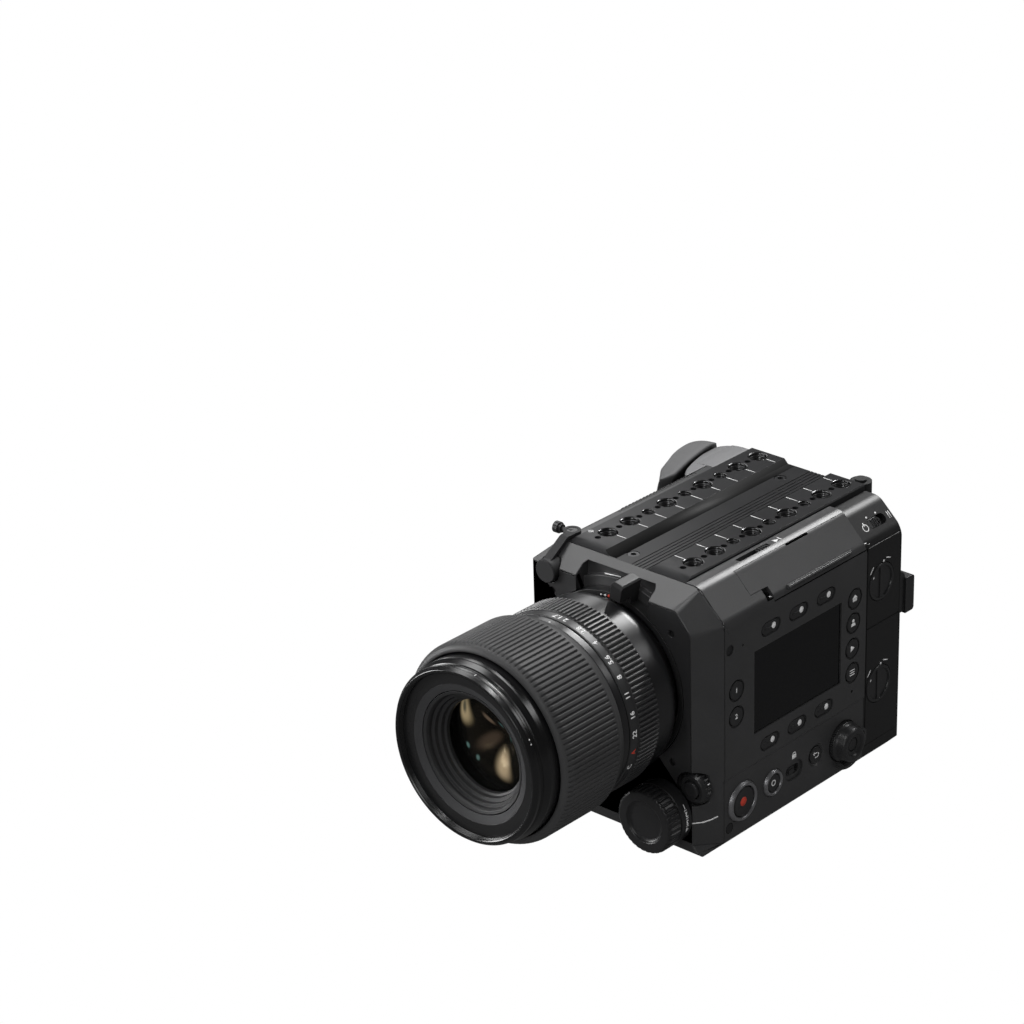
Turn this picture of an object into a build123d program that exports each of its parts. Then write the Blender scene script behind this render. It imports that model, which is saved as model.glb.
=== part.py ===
from build123d import *
import math
import os

# A box-shaped large-format cinema camera with a 55 mm lens, in millimetres.
# +Z up, the lens looks along -Y, the operator's control side is +X.
# The origin is the mouth of the tripod thread in the base, below the lens axis.

# Driving sizes: lens
LENS_Z = 75.8          # height of the lens axis
FLANGE_Y = -73.4       # plane the lens seats on
LENS_LEN = 100.4       # flange to front rim
LENS_R = 94.7 / 2      # widest radius, over the focus ribs
FILTER_R = LENS_R - 8.85       # 77 mm filter thread
RIM_R = FILTER_R + 4.2         # front rim
SLEEVE_R = FILTER_R + 3.9      # front barrel behind the rim
FOCUS_SEAT_R = LENS_R - 7.35   # tube below the focus ring
BARREL_R = 43.0        # rear barrel
TUBE_R = BARREL_R - 5.0        # tube below the aperture ring
NECK_U = 84.0          # where the front barrel starts
BORE_R = 27.0          # inside of the tube
BAYONET_R = 31.0       # rear claws of the lens
APERTURE_U = (22.6, 41.5)   # ring position in front of the flange
FOCUS_U = (47.2, 86.2)
FOCUS_RIBS = 116
APERTURE_RIBS = 104
SENSOR_BACK = 26.7     # flange to sensor

# Driving sizes: body
FRONT_Y = -76.2        # front face
SEAM_Y = -65.0         # front frame to side panel
REAR_SEAM_Y = 38.0     # side panel to rear module
REAR_Y = 65.3
LEFT_X = -48.5
SIDE_X = 56.0          # control side face
FOOT_X = 50.8
FACE_HALF = 45.9       # half width of the front face
TOP_Z = 128.2
RAIL_Z = TOP_Z + 1.2    # top of the threaded rails
BASE_T = 4.2
DECK_Z = TOP_Z - 4.0   # under the top plate
REAR_TOP_Z = TOP_Z - 2.0
WALL = 3.0
SKIN = 3.7             # side panel thickness
SLOPE_RUN = 13.0       # width and height of the sloped corner
SLOPE_LOW = (SIDE_X - 1.5, TOP_Z - SLOPE_RUN)
SLOPE_TOP_X = SLOPE_LOW[0] - SLOPE_RUN
SLOPE_ROUND = 8.0      # rounding of its edges
LEFT_RUN = 10.1        # the same on the far side
CHAMFER_LOW_Z = TOP_Z - 8.6    # front chamfer meets the front face
LOW_X = SIDE_X - 0.5   # face of the lower control strip
BEVEL_Z = 4.7          # bottom bevel on the control side

# Driving sizes: top plate threads
ROW_X = 24.75
BIG_R = 3.95           # 3/8-16 bore
BIG_MOUTH_R = 4.9
SMALL_R = 2.6          # 1/4-20 bore
SMALL_MOUTH_R = 3.2
PIN_R = 1.5
FIRST_Y = -48.7
NEAR_STEP = 15.1
FAR_STEP = 25.85
CHANNEL_HALF = 13.6

# Driving sizes: base threads
THREAD_STEP = 20.0     # 1/4 threads either side of the 3/8 one
THREAD_DEPTH = 11.0
BOSS_TOP = 13.0
BOSS_R = 9.0
SMALL_BOSS_R = 6.0

# Clearances
RUN = 0.08             # radial running fit
SEAT = 0.3             # seated round pieces
GAP = 0.15             # between flat neighbours
KEY_GAP = 0.25         # round a push key

os.makedirs("parts", exist_ok=True)
made = {}


def save(name, *solids):
    shape = solids[0] if len(solids) == 1 else Compound(children=list(solids))
    made[name] = shape
    export_step(shape, "parts/" + name + ".step")


def bx(x0, x1, y0, y1, z0, z1):
    return Pos((x0 + x1) / 2, (y0 + y1) / 2, (z0 + z1) / 2) * Box(abs(x1 - x0), abs(y1 - y0), abs(z1 - z0))


def cyl_y(x, z, r, y0, y1):
    return Pos(x, (y0 + y1) / 2, z) * Rot(90, 0, 0) * Cylinder(r, abs(y1 - y0))


def cyl_x(y, z, r, x0, x1):
    return Pos((x0 + x1) / 2, y, z) * Rot(0, 90, 0) * Cylinder(r, abs(x1 - x0))


def cyl_z(x, y, r, z0, z1):
    return Pos(x, y, (z0 + z1) / 2) * Cylinder(r, abs(z1 - z0))


def prism(points, direction, rounds=()):
    """Push an outline along a direction. rounds lists (corner number, radius) of the corners that are arcs."""
    d = Vector(*direction)
    face = make_face(Polyline(*points, close=True)).face()
    for corner, radius in rounds:
        place = Vector(*points[corner])
        vertex = min(face.vertices(), key=lambda v: (Vector(v.X, v.Y, v.Z) - place).length)
        face = face.fillet_2d(radius, [vertex])
    return extrude(face, amount=d.length, dir=d.normalized())


def prism_y(xz, y0, y1, rounds=()):
    return prism([(x, y0, z) for x, z in xz], (0, y1 - y0, 0), rounds)


def prism_x(yz, x0, x1, rounds=()):
    return prism([(x0, y, z) for y, z in yz], (x1 - x0, 0, 0), rounds)


def prism_z(xy, z0, z1):
    return prism([(x, y, z0) for x, y in xy], (0, 0, z1 - z0))


def turned(points, x=0.0, z=LENS_Z, arc=360):
    """Revolve (radius, y) points about an axis parallel to Y."""
    face = make_face(Polyline(*[(x, y, z + r) for r, y in points], close=True))
    return revolve(face, axis=Axis((x, 0, z), (0, 1, 0)), revolution_arc=arc)


def turned_u(points):
    """Revolve (radius, distance in front of the flange) points about the lens axis."""
    return turned([(r, FLANGE_Y - u) for r, u in points])


def turned_x(points, y, z):
    """Revolve (radius, x) points about an axis parallel to X."""
    face = make_face(Polyline(*[(px, y, z + r) for r, px in points], close=True))
    return revolve(face, axis=Axis((0, y, z), (1, 0, 0)), revolution_arc=360)


def ribbed(x, z, r_out, r_in, count, y0, y1, share=0.55):
    """A ring of straight ribs: a toothed outline pushed along Y."""
    points = []
    step = 2 * math.pi / count
    for i in range(count):
        a = i * step
        for r, b in ((r_in, 0.0), (r_out, 0.12), (r_out, share - 0.12), (r_in, share)):
            points.append((x + r * math.sin(a + b * step), z + r * math.cos(a + b * step)))
    return prism_y(points, y0, y1)


def pill_x(y, z, length, width, x0, x1):
    r = width / 2
    h = length / 2 - r
    body = bx(x0, x1, y - h, y + h, z - r, z + r)
    return body + cyl_x(y - h, z, r, x0, x1) + cyl_x(y + h, z, r, x0, x1)


# Lens
a0, a1 = APERTURE_U
f0, f1 = FOCUS_U
BAND_R = BARREL_R + 0.8        # index ring and the smooth end of the aperture ring
tube = turned_u([
    (BORE_R, -4.5), (BAYONET_R, -4.5), (BAYONET_R, 0.0), (BAYONET_R + 4.5, 0.0), (BARREL_R - 5.7, 2.8),
    (BARREL_R - 3.8, 5.6), (BARREL_R - 1.4, 8.6), (BARREL_R - 0.3, 10.6), (BARREL_R, 12.6),
    (BARREL_R, a0 - SEAT), (TUBE_R, a0 - SEAT), (TUBE_R, a1 + SEAT), (BAND_R - 0.5, a1 + SEAT),
    (BAND_R, a1 + 0.9), (BAND_R, f0 - 1.0), (BAND_R - 0.6, f0 - SEAT), (FOCUS_SEAT_R, f0 - SEAT),
    (FOCUS_SEAT_R, NECK_U), (BORE_R, NECK_U),
])
save("lens_barrel", tube)

RIBS_A = (a0 + 0.6, a0 + 12.8)
ring = turned_u([
    (TUBE_R + RUN, a0), (BAND_R - 0.8, a0), (BAND_R - 0.3, a0 + 0.5), (BAND_R - 0.3, RIBS_A[1] + 0.4),
    (BAND_R, RIBS_A[1] + 0.7), (BAND_R, a1 - 0.4), (BAND_R - 0.4, a1), (TUBE_R + RUN, a1),
])
teeth = ribbed(0, LENS_Z, BAND_R + 0.9, BAND_R - 0.2, APERTURE_RIBS, FLANGE_Y - RIBS_A[1], FLANGE_Y - RIBS_A[0])
teeth -= cyl_y(0, LENS_Z, BAND_R - 1.3, FLANGE_Y - RIBS_A[1] - 1, FLANGE_Y - RIBS_A[0] + 1)
save("aperture_ring", ring + teeth)

RIBS_F = (f0 + 5.6, f1 - 4.8)
GROOVE_R = LENS_R - 0.85       # between the focus ribs
ring = turned_u([
    (FOCUS_SEAT_R + RUN, f0), (GROOVE_R - 1.6, f0), (GROOVE_R - 0.5, f0 + 1.6), (GROOVE_R + 0.05, RIBS_F[0] - 0.2),
    (GROOVE_R + 0.05, RIBS_F[1]), (LENS_R - 0.45, f1 - 4.2), (LENS_R - 0.75, f1 - 2.6), (LENS_R - 1.75, f1 - 1.0),
    (LENS_R - 3.05, f1), (SLEEVE_R + 0.8, f1), (SLEEVE_R + 0.8, f1 - 7.2), (FOCUS_SEAT_R + RUN, f1 - 7.2),
])
teeth = ribbed(0, LENS_Z, LENS_R, GROOVE_R, FOCUS_RIBS, FLANGE_Y - RIBS_F[1], FLANGE_Y - RIBS_F[0])
teeth -= cyl_y(0, LENS_Z, GROOVE_R - 1.0, FLANGE_Y - RIBS_F[1] - 1, FLANGE_Y - RIBS_F[0] + 1)
save("focus_ring", ring + teeth)

CONE_R = 31.0          # inner edge of the cone behind the filter thread
BAFFLE_R = 28.4
e = LENS_LEN
cup = turned_u([
    (BAFFLE_R, NECK_U), (SLEEVE_R, NECK_U), (SLEEVE_R, e - 8.7), (SLEEVE_R - 1.1, e - 4.3), (SLEEVE_R - 1.7, e - 4.1),
    (SLEEVE_R - 1.7, e - 3.4), (RIM_R - 0.5, e - 3.3), (RIM_R, e - 2.9), (RIM_R, e - 0.5), (RIM_R - 0.5, e),
    (FILTER_R + 0.6, e), (FILTER_R, e - 0.6), (FILTER_R, e - 3.4), (FILTER_R - 0.9, e - 3.8), (CONE_R, e - 5.9),
    (CONE_R - 0.2, e - 6.7), (CONE_R - 0.7, e - 6.7), (CONE_R - 0.9, e - 6.2), (BAFFLE_R, e - 6.5),
])
save("front_barrel", cup)

BAFFLE_STEPS = 5
step_r = 0.8
step_u = (e - 7.1 - NECK_U - 1.8) / (BAFFLE_STEPS - 1)
outer_r = BAFFLE_R - SEAT
stairs = [(outer_r - BAFFLE_STEPS * step_r - 0.2, NECK_U + 0.2), (outer_r, NECK_U + 0.2), (outer_r, e - 7.1)]
for i in range(BAFFLE_STEPS):
    stairs.append((outer_r - (i + 1) * step_r, e - 7.1 - i * step_u))
    stairs.append((outer_r - (i + 1) * step_r, e - 7.1 - (i + 1) * step_u))
stairs[-1] = (stairs[-2][0], NECK_U + 1.8)
stairs = stairs[:-1] + [(stairs[-2][0], NECK_U + 1.0), (stairs[0][0], NECK_U + 1.0)]
save("inner_baffle", turned_u(stairs))


def dome(r, u_edge, sag, u_back, u_front=None):
    """A lens element: flat back, curved front made of short straight steps."""
    big = (r * r + sag * sag) / (2 * sag)
    points = [(0.0, u_back), (r, u_back), (r, u_edge)]
    steps = 4
    for i in range(1, steps):
        a = math.asin(r / big) * (1 - i / steps)
        points.append((big * math.sin(a), u_edge + sag - big + big * math.cos(a)))
    points.append((0.0, u_edge + sag))
    return turned_u(points)


glass = dome(23.4, NECK_U, 3.4, 76.0)
glass += turned_u([(0, 76.0), (BORE_R - SEAT, 76.0), (BORE_R - SEAT, NECK_U - 0.2), (0, NECK_U - 0.2)])
save("front_element", glass)
mid = dome(BORE_R - SEAT, 55.0, 3.0, 50.0)
back = dome(BORE_R - SEAT, 5.0, 2.0, -1.0)
save("inner_elements", mid, back)

# Mount
MOUNT_R = BAYONET_R + 5.6
LOCK_IN = MOUNT_R + 1.8
LOCK_OUT = LOCK_IN + 2.8
LEVER_ANGLE = 11.6     # lever rest angle, clockwise from straight up seen from the front
LEVER_TOP = 52.5       # its top, from the lens axis
LEVER_W = 6.1
MOUNT_BACK_Y = SEAM_Y - 1.0
save("lens_mount", turned([(BAYONET_R + SEAT, FLANGE_Y), (MOUNT_R, FLANGE_Y), (MOUNT_R, MOUNT_BACK_Y),
                           (BAYONET_R + SEAT, MOUNT_BACK_Y)]))

lock = turned([(LOCK_IN, -76.4), (LOCK_OUT, -76.4), (LOCK_OUT, -71.0), (LOCK_IN, -71.0)])
w = LEVER_W / 2
block = prism_x([(-84.0, 44.2), (-84.0, 50.9), (-82.9, LEVER_TOP), (-71.2, LEVER_TOP), (-70.9, 51.9),
                 (-70.9, 44.0), (-71.2, 40.4), (-76.0, 40.4), (-76.0, 44.2)], -w, w)
block = Pos(0, 0, LENS_Z) * block
for side in (-1, 1):
    edge = prism_y([(side * (w - 0.9), LENS_Z + LEVER_TOP + 0.1), (side * (w + 0.1), LENS_Z + LEVER_TOP + 0.1),
                    (side * (w + 0.1), LENS_Z + LEVER_TOP - 0.9)], -85, -69)
    block -= edge
block = block.rotate(Axis((0, 0, LENS_Z), (0, 1, 0)), LEVER_ANGLE)
save("mount_lock_ring", lock + block)

# Front frame
LEFT_SLOPE = [(LEFT_X, TOP_Z - LEFT_RUN), (LEFT_X + LEFT_RUN, TOP_Z)]
outer_left = [(LEFT_X, 0.0)] + LEFT_SLOPE
slope = [(SLOPE_TOP_X, TOP_Z), SLOPE_LOW, (SIDE_X, SLOPE_LOW[1] - 3.6)]
CREASE = [(SIDE_X, 36.6), (LOW_X, 36.0), (LOW_X, BEVEL_Z), (FOOT_X, 0.0)]   # the lower strip steps in
outline = outer_left + slope + CREASE
corners = ((1, 3.0), (2, 3.0), (3, SLOPE_ROUND), (4, SLOPE_ROUND), (5, SLOPE_ROUND))
frame = prism_y(outline, FRONT_Y, SEAM_Y - GAP / 2, corners)
# top chamfer, cut as a wedge along X
frame -= prism_x([(FRONT_Y - 1, CHAMFER_LOW_Z - 0.77), (SEAM_Y, TOP_Z), (SEAM_Y, TOP_Z + 9),
                  (FRONT_Y - 1, TOP_Z + 9)], -60, 60)
# right bevel, above the foot
frame -= prism_z([(FACE_HALF, FRONT_Y), (SIDE_X, SEAM_Y), (SIDE_X + 6, SEAM_Y), (SIDE_X + 6, FRONT_Y - 1),
                  (FACE_HALF, FRONT_Y - 1)], BEVEL_Z, TOP_Z + 10)
# left bevel
frame -= prism_z([(-FACE_HALF, FRONT_Y), (LEFT_X, FRONT_Y + 3.2), (LEFT_X - 5, FRONT_Y + 3.2),
                  (LEFT_X - 5, FRONT_Y - 1), (-FACE_HALF, FRONT_Y - 1)], -1, TOP_Z + 10)
# bottom front edge
frame -= prism_x([(FRONT_Y - 1, -1), (FRONT_Y - 1, 1.3), (FRONT_Y, 1.3), (FRONT_Y + 1.3, 0), (FRONT_Y + 1.3, -1)],
                 LEFT_X - 10, SIDE_X + 10)


def plane_cut(p, q, r, size=90):
    """A thick slab lying on the far side of the plane through three points."""
    p, q, r = Vector(*p), Vector(*q), Vector(*r)
    n = (q - p).cross(r - p).normalized()
    if n.X < 0:
        n = n * -1
    mid_point = (p + q + r) * (1 / 3)
    return Plane(origin=mid_point, z_dir=n) * Pos(0, 0, size / 2) * Box(size, size, size)


frame -= plane_cut((SLOPE_TOP_X - 4.4, FRONT_Y, CHAMFER_LOW_Z), (FACE_HALF, FRONT_Y, SLOPE_LOW[1] - 5.3),
                   (SLOPE_LOW[0], SEAM_Y, SLOPE_LOW[1]))
foot_facet = plane_cut((FACE_HALF, FRONT_Y, BEVEL_Z), (LOW_X, SEAM_Y, BEVEL_Z), (FOOT_X - 0.6, FRONT_Y, 0))
frame -= foot_facet & bx(FACE_HALF - 10, SIDE_X + 10, FRONT_Y - 10, SEAM_Y + 1, -1, BEVEL_Z)
# mount opening, lock ring seat and lever pocket
frame -= cyl_y(0, LENS_Z, MOUNT_R + SEAT, FRONT_Y - 1, SEAM_Y + 1)
frame -= cyl_y(0, LENS_Z, LOCK_OUT + RUN, FRONT_Y - 1, -70.9)
POCKET_TOP = TOP_Z - 3.3
POCKET = [(-20.4, LENS_Z + 20), (-20.4, POCKET_TOP - 1.3), (-19.0, POCKET_TOP), (20.0, POCKET_TOP),
          (21.4, POCKET_TOP - 1.5), (21.4, LENS_Z + 20)]
frame -= prism_y(POCKET, FRONT_Y - 1, -67.6)
# ledge that keeps the mount supported behind the pocket
ledge = [(MOUNT_R + SEAT, -70.6), (46.0, -70.6), (46.0, SEAM_Y - GAP / 2), (MOUNT_R + SEAT, SEAM_Y - GAP / 2)]
frame += turned(ledge)
# panel recess
PANEL_T = 2.0
IN = 0.55
PANEL_LOW_Z = BEVEL_Z + 1.5
panel_shape = [(-FACE_HALF + IN, PANEL_LOW_Z), (-FACE_HALF + IN, CHAMFER_LOW_Z - 0.6),
               (SLOPE_TOP_X - 4.6, CHAMFER_LOW_Z - 0.6), (FACE_HALF - IN, SLOPE_LOW[1] - 5.5), (FACE_HALF - IN, PANEL_LOW_Z)]
frame -= prism_y(panel_shape, FRONT_Y - 1, FRONT_Y + PANEL_T)
ND_X, ND_Z = 31.0, 18.5
ND_R = 15.6
ND_FACE_Y = -92.0
MODE_X, MODE_Z = FACE_HALF - 0.4, 33.3
SCOOP_R = 8.6
frame -= cyl_y(ND_X, ND_Z, 3.0 + RUN, FRONT_Y - 1, -67.0)
frame -= cyl_y(MODE_X, MODE_Z, SCOOP_R, FRONT_Y - 1, -70.2)
frame -= cyl_y(MODE_X, MODE_Z, 2.6 + RUN, -71, -66.6)
DC_X, DC_Z = 9.5 - FACE_HALF, TOP_Z - 10.6
DC_R = 5.7
frame -= cyl_y(DC_X, DC_Z, DC_R + 0.5, FRONT_Y - 4, -71.8)
frame += cyl_y(DC_X, DC_Z, 3.2, -76.0, -71.0)
frame -= cyl_y(DC_X, DC_Z, 1.1, -77.0, -72.5)
PANEL_HOLES = [(sx * 34.7, LENS_Z + sz * 32.0) for sx in (-1, 1) for sz in (-1, 1)]
for hx, hz in PANEL_HOLES:
    frame -= cyl_y(hx, hz, 1.3, FRONT_Y - 1, -68.0)
save("front_frame", frame)

EDGE = 0.12            # round the recessed panel
inset = [(x - math.copysign(EDGE, x), z - math.copysign(EDGE, z - LENS_Z)) for x, z in panel_shape]
panel = prism_y(inset, FRONT_Y, FRONT_Y + PANEL_T)
panel -= cyl_y(0, LENS_Z, LOCK_OUT + SEAT, FRONT_Y - 1, FRONT_Y + 4)
panel -= prism_y(POCKET, FRONT_Y - 1, FRONT_Y + 4)
panel -= cyl_y(ND_X, ND_Z, 3.0 + SEAT, FRONT_Y - 1, FRONT_Y + 4)
panel -= cyl_y(MODE_X, MODE_Z, SCOOP_R, FRONT_Y - 1, FRONT_Y + 4)
panel -= cyl_y(DC_X, DC_Z, DC_R + 0.5, FRONT_Y - 1, FRONT_Y + 4)
for hx, hz in PANEL_HOLES:
    panel -= cyl_y(hx, hz, 1.75, FRONT_Y - 1, FRONT_Y + 4)
save("front_panel", panel)

# ND dial with its scale drum and shaft
dial = turned([(0, ND_FACE_Y + 1.3), (9.2, ND_FACE_Y + 1.3), (10.2, ND_FACE_Y), (ND_R - 1.0, ND_FACE_Y),
               (ND_R - 0.6, ND_FACE_Y + 0.5), (ND_R - 0.6, -84.2), (ND_R - 0.9, -84.2), (ND_R - 0.9, -83.5),
               (ND_R, -83.5), (ND_R, FRONT_Y - 0.6), (3.0, FRONT_Y - 0.6), (3.0, -68.0), (0, -68.0)], ND_X, ND_Z)
grips = ribbed(ND_X, ND_Z, ND_R, ND_R - 0.7, 34, ND_FACE_Y + 0.8, -84.3, 0.68)
grips -= cyl_y(ND_X, ND_Z, ND_R - 1.7, ND_FACE_Y, -84.0)
save("nd_dial", dial + grips)

MODE_KEY_R = 4.2
mode = turned([(MODE_KEY_R + KEY_GAP, -75.9), (6.4, -75.9), (7.3, -73.8), (7.3, -70.6), (2.6, -70.6), (2.6, -66.9),
               (0, -66.9), (0, -73.2), (MODE_KEY_R + KEY_GAP, -73.2)], MODE_X, MODE_Z)
grips = ribbed(MODE_X, MODE_Z, 7.9, 7.1, 20, -73.6, -70.8, 0.6)
grips -= cyl_y(MODE_X, MODE_Z, 6.9, -74, -70)
save("focus_mode_dial", mode + grips)
button = [(0, -77.3), (MODE_KEY_R - 0.7, -77.3), (MODE_KEY_R, -76.7), (MODE_KEY_R, -74.0), (0, -74.0)]
save("focus_mode_button", turned(button, MODE_X, MODE_Z))

# rubber cap with a strap to the post on the top edge, and the tape hook post
POST_X, POST_Y = LEFT_X + 10.5, -58.2
POST_R = 2.2
STRAP_HALF = 2.2
TAB_Z = (TOP_Z + 0.5, TOP_Z + 2.1)     # the strap's tab lies on the top
x0, x1 = DC_X - STRAP_HALF, DC_X + STRAP_HALF
cap = turned([(0, -79.0), (5.2, -79.0), (DC_R, -78.5), (DC_R, -72.1), (3.5, -72.1), (3.5, -76.3), (0, -76.3)], DC_X, DC_Z)
cap += prism_x([(-78.4, DC_Z + 3.4), (-78.4, DC_Z + 4.6), (-66.2, TAB_Z[1] - 0.4), (-64.8, TAB_Z[1]), (-63.4, TAB_Z[1]),
                (-63.4, TAB_Z[0]), (-65.6, TAB_Z[0] - 0.1), (-76.8, DC_Z + 3.6)], x0, x1)
cap += bx(x0, x1, -63.9, POST_Y - 2.0, *TAB_Z)
cap += cyl_z(POST_X, POST_Y, 4.1, *TAB_Z)
cap -= cyl_z(POST_X, POST_Y, POST_R + SEAT, TOP_Z - 0.2, TOP_Z + 3)
save("dc_out_cap", cap)

ARM_Y, ARM_Z = POST_Y - 0.4, TOP_Z + 3.2
POST_FOOT_Z = TOP_Z - 1.7
hook = cyl_z(POST_X, POST_Y, POST_R, POST_FOOT_Z, TOP_Z + 2.4) + cyl_z(POST_X, POST_Y, 3.6, TOP_Z + 2.4, TOP_Z + 4.0)
hook += cyl_x(ARM_Y, ARM_Z, 1.1, POST_X - 7.0, POST_X) + cyl_x(ARM_Y, ARM_Z, 2.0, POST_X - 7.0, POST_X - 5.4)
hook += cyl_x(ARM_Y, ARM_Z, 2.7, POST_X - 9.4, POST_X - 6.8)
save("tape_hook", hook)

# Main body
NODE_Y0 = SEAM_Y + GAP / 2
NODE_Y1 = REAR_SEAM_Y - GAP / 2
inner_slope = [(SLOPE_TOP_X - 1.6, DECK_Z), (SLOPE_LOW[0] - 3.5, SLOPE_LOW[1] - 2.0), (SIDE_X - SKIN, SLOPE_LOW[1] - 4.8)]
inner_foot = [(SIDE_X - SKIN, BEVEL_Z), (FOOT_X - SKIN, 0.0)]
PLATE_HALF = 33.7              # half width of the top plate
DECK_HALF = PLATE_HALF + 0.4
shell_line = outer_left + [(-DECK_HALF, TOP_Z), (-DECK_HALF, DECK_Z)] + inner_slope + inner_foot
shell = prism_y(shell_line, NODE_Y0, NODE_Y1, ((1, 3.0), (2, 3.0)))
shell -= prism_y([(LEFT_X + WALL, BASE_T + WALL), (LEFT_X + WALL, TOP_Z - 11.4), (LEFT_X + 7.5, DECK_Z - WALL),
                  (SLOPE_TOP_X - 2.9, DECK_Z - WALL), (SLOPE_LOW[0] - 6.3, SLOPE_LOW[1] - 3.6),
                  (SIDE_X - SKIN - WALL, SLOPE_LOW[1] - 6.0), (SIDE_X - SKIN - WALL, BASE_T + WALL)],
                 NODE_Y0 - 1, NODE_Y1 - WALL)
# pocket for the base plate
FOOT = (LEFT_X + 2.3, FOOT_X - SKIN - 2.1, NODE_Y0 + 1.3, NODE_Y1 - 1.3)
shell -= bx(*FOOT, -1, BASE_T)
# media bay hung from the sloped wall
BAY_Y = (-37.0, 33.0)
bay = prism_y([(24.0, 98.0), (24.0, 121.3), (38.7, 121.3), (48.3, 111.7), (48.3, 98.0)], BAY_Y[0], BAY_Y[1])
shell += bay
nx = 1 / math.sqrt(2)
recess = prism_y([(42.6, 129.0), (56.4, 115.2), (46.6, 105.4), (32.8, 119.2)], BAY_Y[0] + 3, BAY_Y[1] - 3)
shell -= recess
for y0 in (-29.0, 3.0):
    slot = prism_y([(40.0, 112.6), (37.6, 110.2), (30.0, 117.8 - 15), (32.4, 120.2 - 15)], y0, y0 + 24.0)
    shell -= slot
# louvre opening on the left slope
VENT_Y = (-27.0, 28.0)
shell -= prism_y([(-36.4, TOP_Z + 2), (-50.5, TOP_Z + 2), (-50.5, 103.8), (LEFT_X + 2.6, 103.8),
                  (LEFT_X + 2.6, 117.0), (-37.3, 125.0), (-36.4, 125.0)], VENT_Y[0], VENT_Y[1])
shell -= prism_y([(-48.0, 106.0), (-44.0, 106.0), (-44.0, 114.5), (-48.0, 114.5)], VENT_Y[0] + 3, VENT_Y[1] - 3)
shell -= cyl_z(POST_X, POST_Y, POST_R, POST_FOOT_Z, TOP_Z + 1)
for hy in (-THREAD_STEP, 0.0, THREAD_STEP):
    shell -= cyl_z(0, hy, (BOSS_R if hy == 0 else SMALL_BOSS_R) + SEAT, BASE_T - 1, BASE_T + WALL + 1)
save("body_shell", shell)

grille = prism_y([(-36.6, TOP_Z), LEFT_SLOPE[1], LEFT_SLOPE[0], (LEFT_X, 104.0), (LEFT_X + 2.4, 104.0),
                  (LEFT_X + 2.4, 117.1), (-37.4, 125.2), (-36.6, 125.2)], VENT_Y[0] + 0.2, VENT_Y[1] - 0.2,
                 ((1, 3.0), (2, 3.0)))
LOUVRES = 21
for i in range(LOUVRES):
    y = VENT_Y[0] + 2.6 + i * 2.48
    grille -= prism_y([(-37.6, TOP_Z + 1), (-39.0, TOP_Z + 1), (-51.0, 117.0), (-51.0, 106.4), (LEFT_X + 1.5, 106.4),
                       (LEFT_X + 1.5, 117.4), (-37.6, 127.0)], y, y + 1.3)
save("vent_grille", grille)

# Operator side panel
side_line = [(DECK_HALF, DECK_Z), (DECK_HALF, TOP_Z)] + slope + CREASE + list(reversed(inner_foot)) + list(reversed(inner_slope))
slope_rounds = ((2, SLOPE_ROUND), (3, SLOPE_ROUND), (4, SLOPE_ROUND))
side = prism_y(side_line, NODE_Y0, NODE_Y1, slope_rounds)
# door opening in the slope, with the ledge at its front lower corner
DOOR_Y = (-41.5, REAR_SEAM_Y)
DOOR_LOW_Z = 112.1
LEDGE_Z = 118.4
LEDGE_Y = -29.6
SLOPE_SUM = SLOPE_TOP_X + TOP_Z    # x + z along the sloped face
DOOR_SUM = SLOPE_SUM - 2.83        # its inner face, 2 mm down
SEAT_SUM = SLOPE_SUM - 3.2         # the rebate it closes on
x_top = SLOPE_TOP_X + 0.2
side -= prism_y([(x_top, TOP_Z + 1), (x_top, SEAT_SUM - x_top), (SEAT_SUM - LEDGE_Z + 0.2, LEDGE_Z - 0.2), (60, LEDGE_Z - 0.2),
                 (60, TOP_Z + 1)], DOOR_Y[0], DOOR_Y[1] + 1)
side -= prism_y([(SEAT_SUM - 120.0, 120.0), (60, 120.0), (60, DOOR_LOW_Z), (50.9, DOOR_LOW_Z), (43.0, 120.4),
                 (43.0, SEAT_SUM - 43.0)], LEDGE_Y, DOOR_Y[1] + 1)
side -= prism_y([(43.2, 128.0), (56.4, 114.8), (46.6, 105.4), (33.4, 118.6)], BAY_Y[0] + 3, BAY_Y[1] - 3)
PIN_X, PIN_Z = 53.7, 113.9
PIN_SPAN = (LEDGE_Y - 2.0, REAR_SEAM_Y + 2.0)
side -= cyl_y(PIN_X, PIN_Z, 2.7, LEDGE_Y, DOOR_Y[1] + 1)
side -= cyl_y(PIN_X, PIN_Z, 0.9, PIN_SPAN[0], LEDGE_Y)
# screen window
LCD_Y = (-44.4, 19.3)
LCD_Z = (51.5, 93.1)
side -= bx(SIDE_X - 5, SIDE_X + 1, LCD_Y[0], LCD_Y[1], LCD_Z[0], LCD_Z[1])
SOFTKEYS = [(-32.5, 100.9), (-12.5, 100.8), (7.6, 100.7), (-32.9, 43.4), (-13.0, 43.5), (6.9, 43.6)]
SOFT_L, SOFT_W = 12.4, 5.4
for ky, kz in SOFTKEYS:
    side -= pill_x(ky, kz, SOFT_L + 1.6, SOFT_W + 1.6, SIDE_X - 0.9, SIDE_X + 1)
    side -= pill_x(ky, kz, SOFT_L + 2 * KEY_GAP, SOFT_W + 2 * KEY_GAP, SIDE_X - SKIN - 1, SIDE_X + 1)
ROUND = {"home_key": (29.3, 91.1), "user_key": (28.4, 79.0), "play_key": (28.0, 66.1), "menu_key": (28.2, 53.5),
         "fn_key_1": (-56.9, 78.9), "fn_key_2": (-57.0, 65.9)}
KEY_R = 4.5
for ky, kz in ROUND.values():
    side -= cyl_x(ky, kz, KEY_R + 0.9, SIDE_X - 0.8, SIDE_X + 1)
    side -= cyl_x(ky, kz, KEY_R + KEY_GAP, SIDE_X - SKIN - 1, SIDE_X + 1)
REC = (-52.3, 20.8)
REC_R = 7.3
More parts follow.
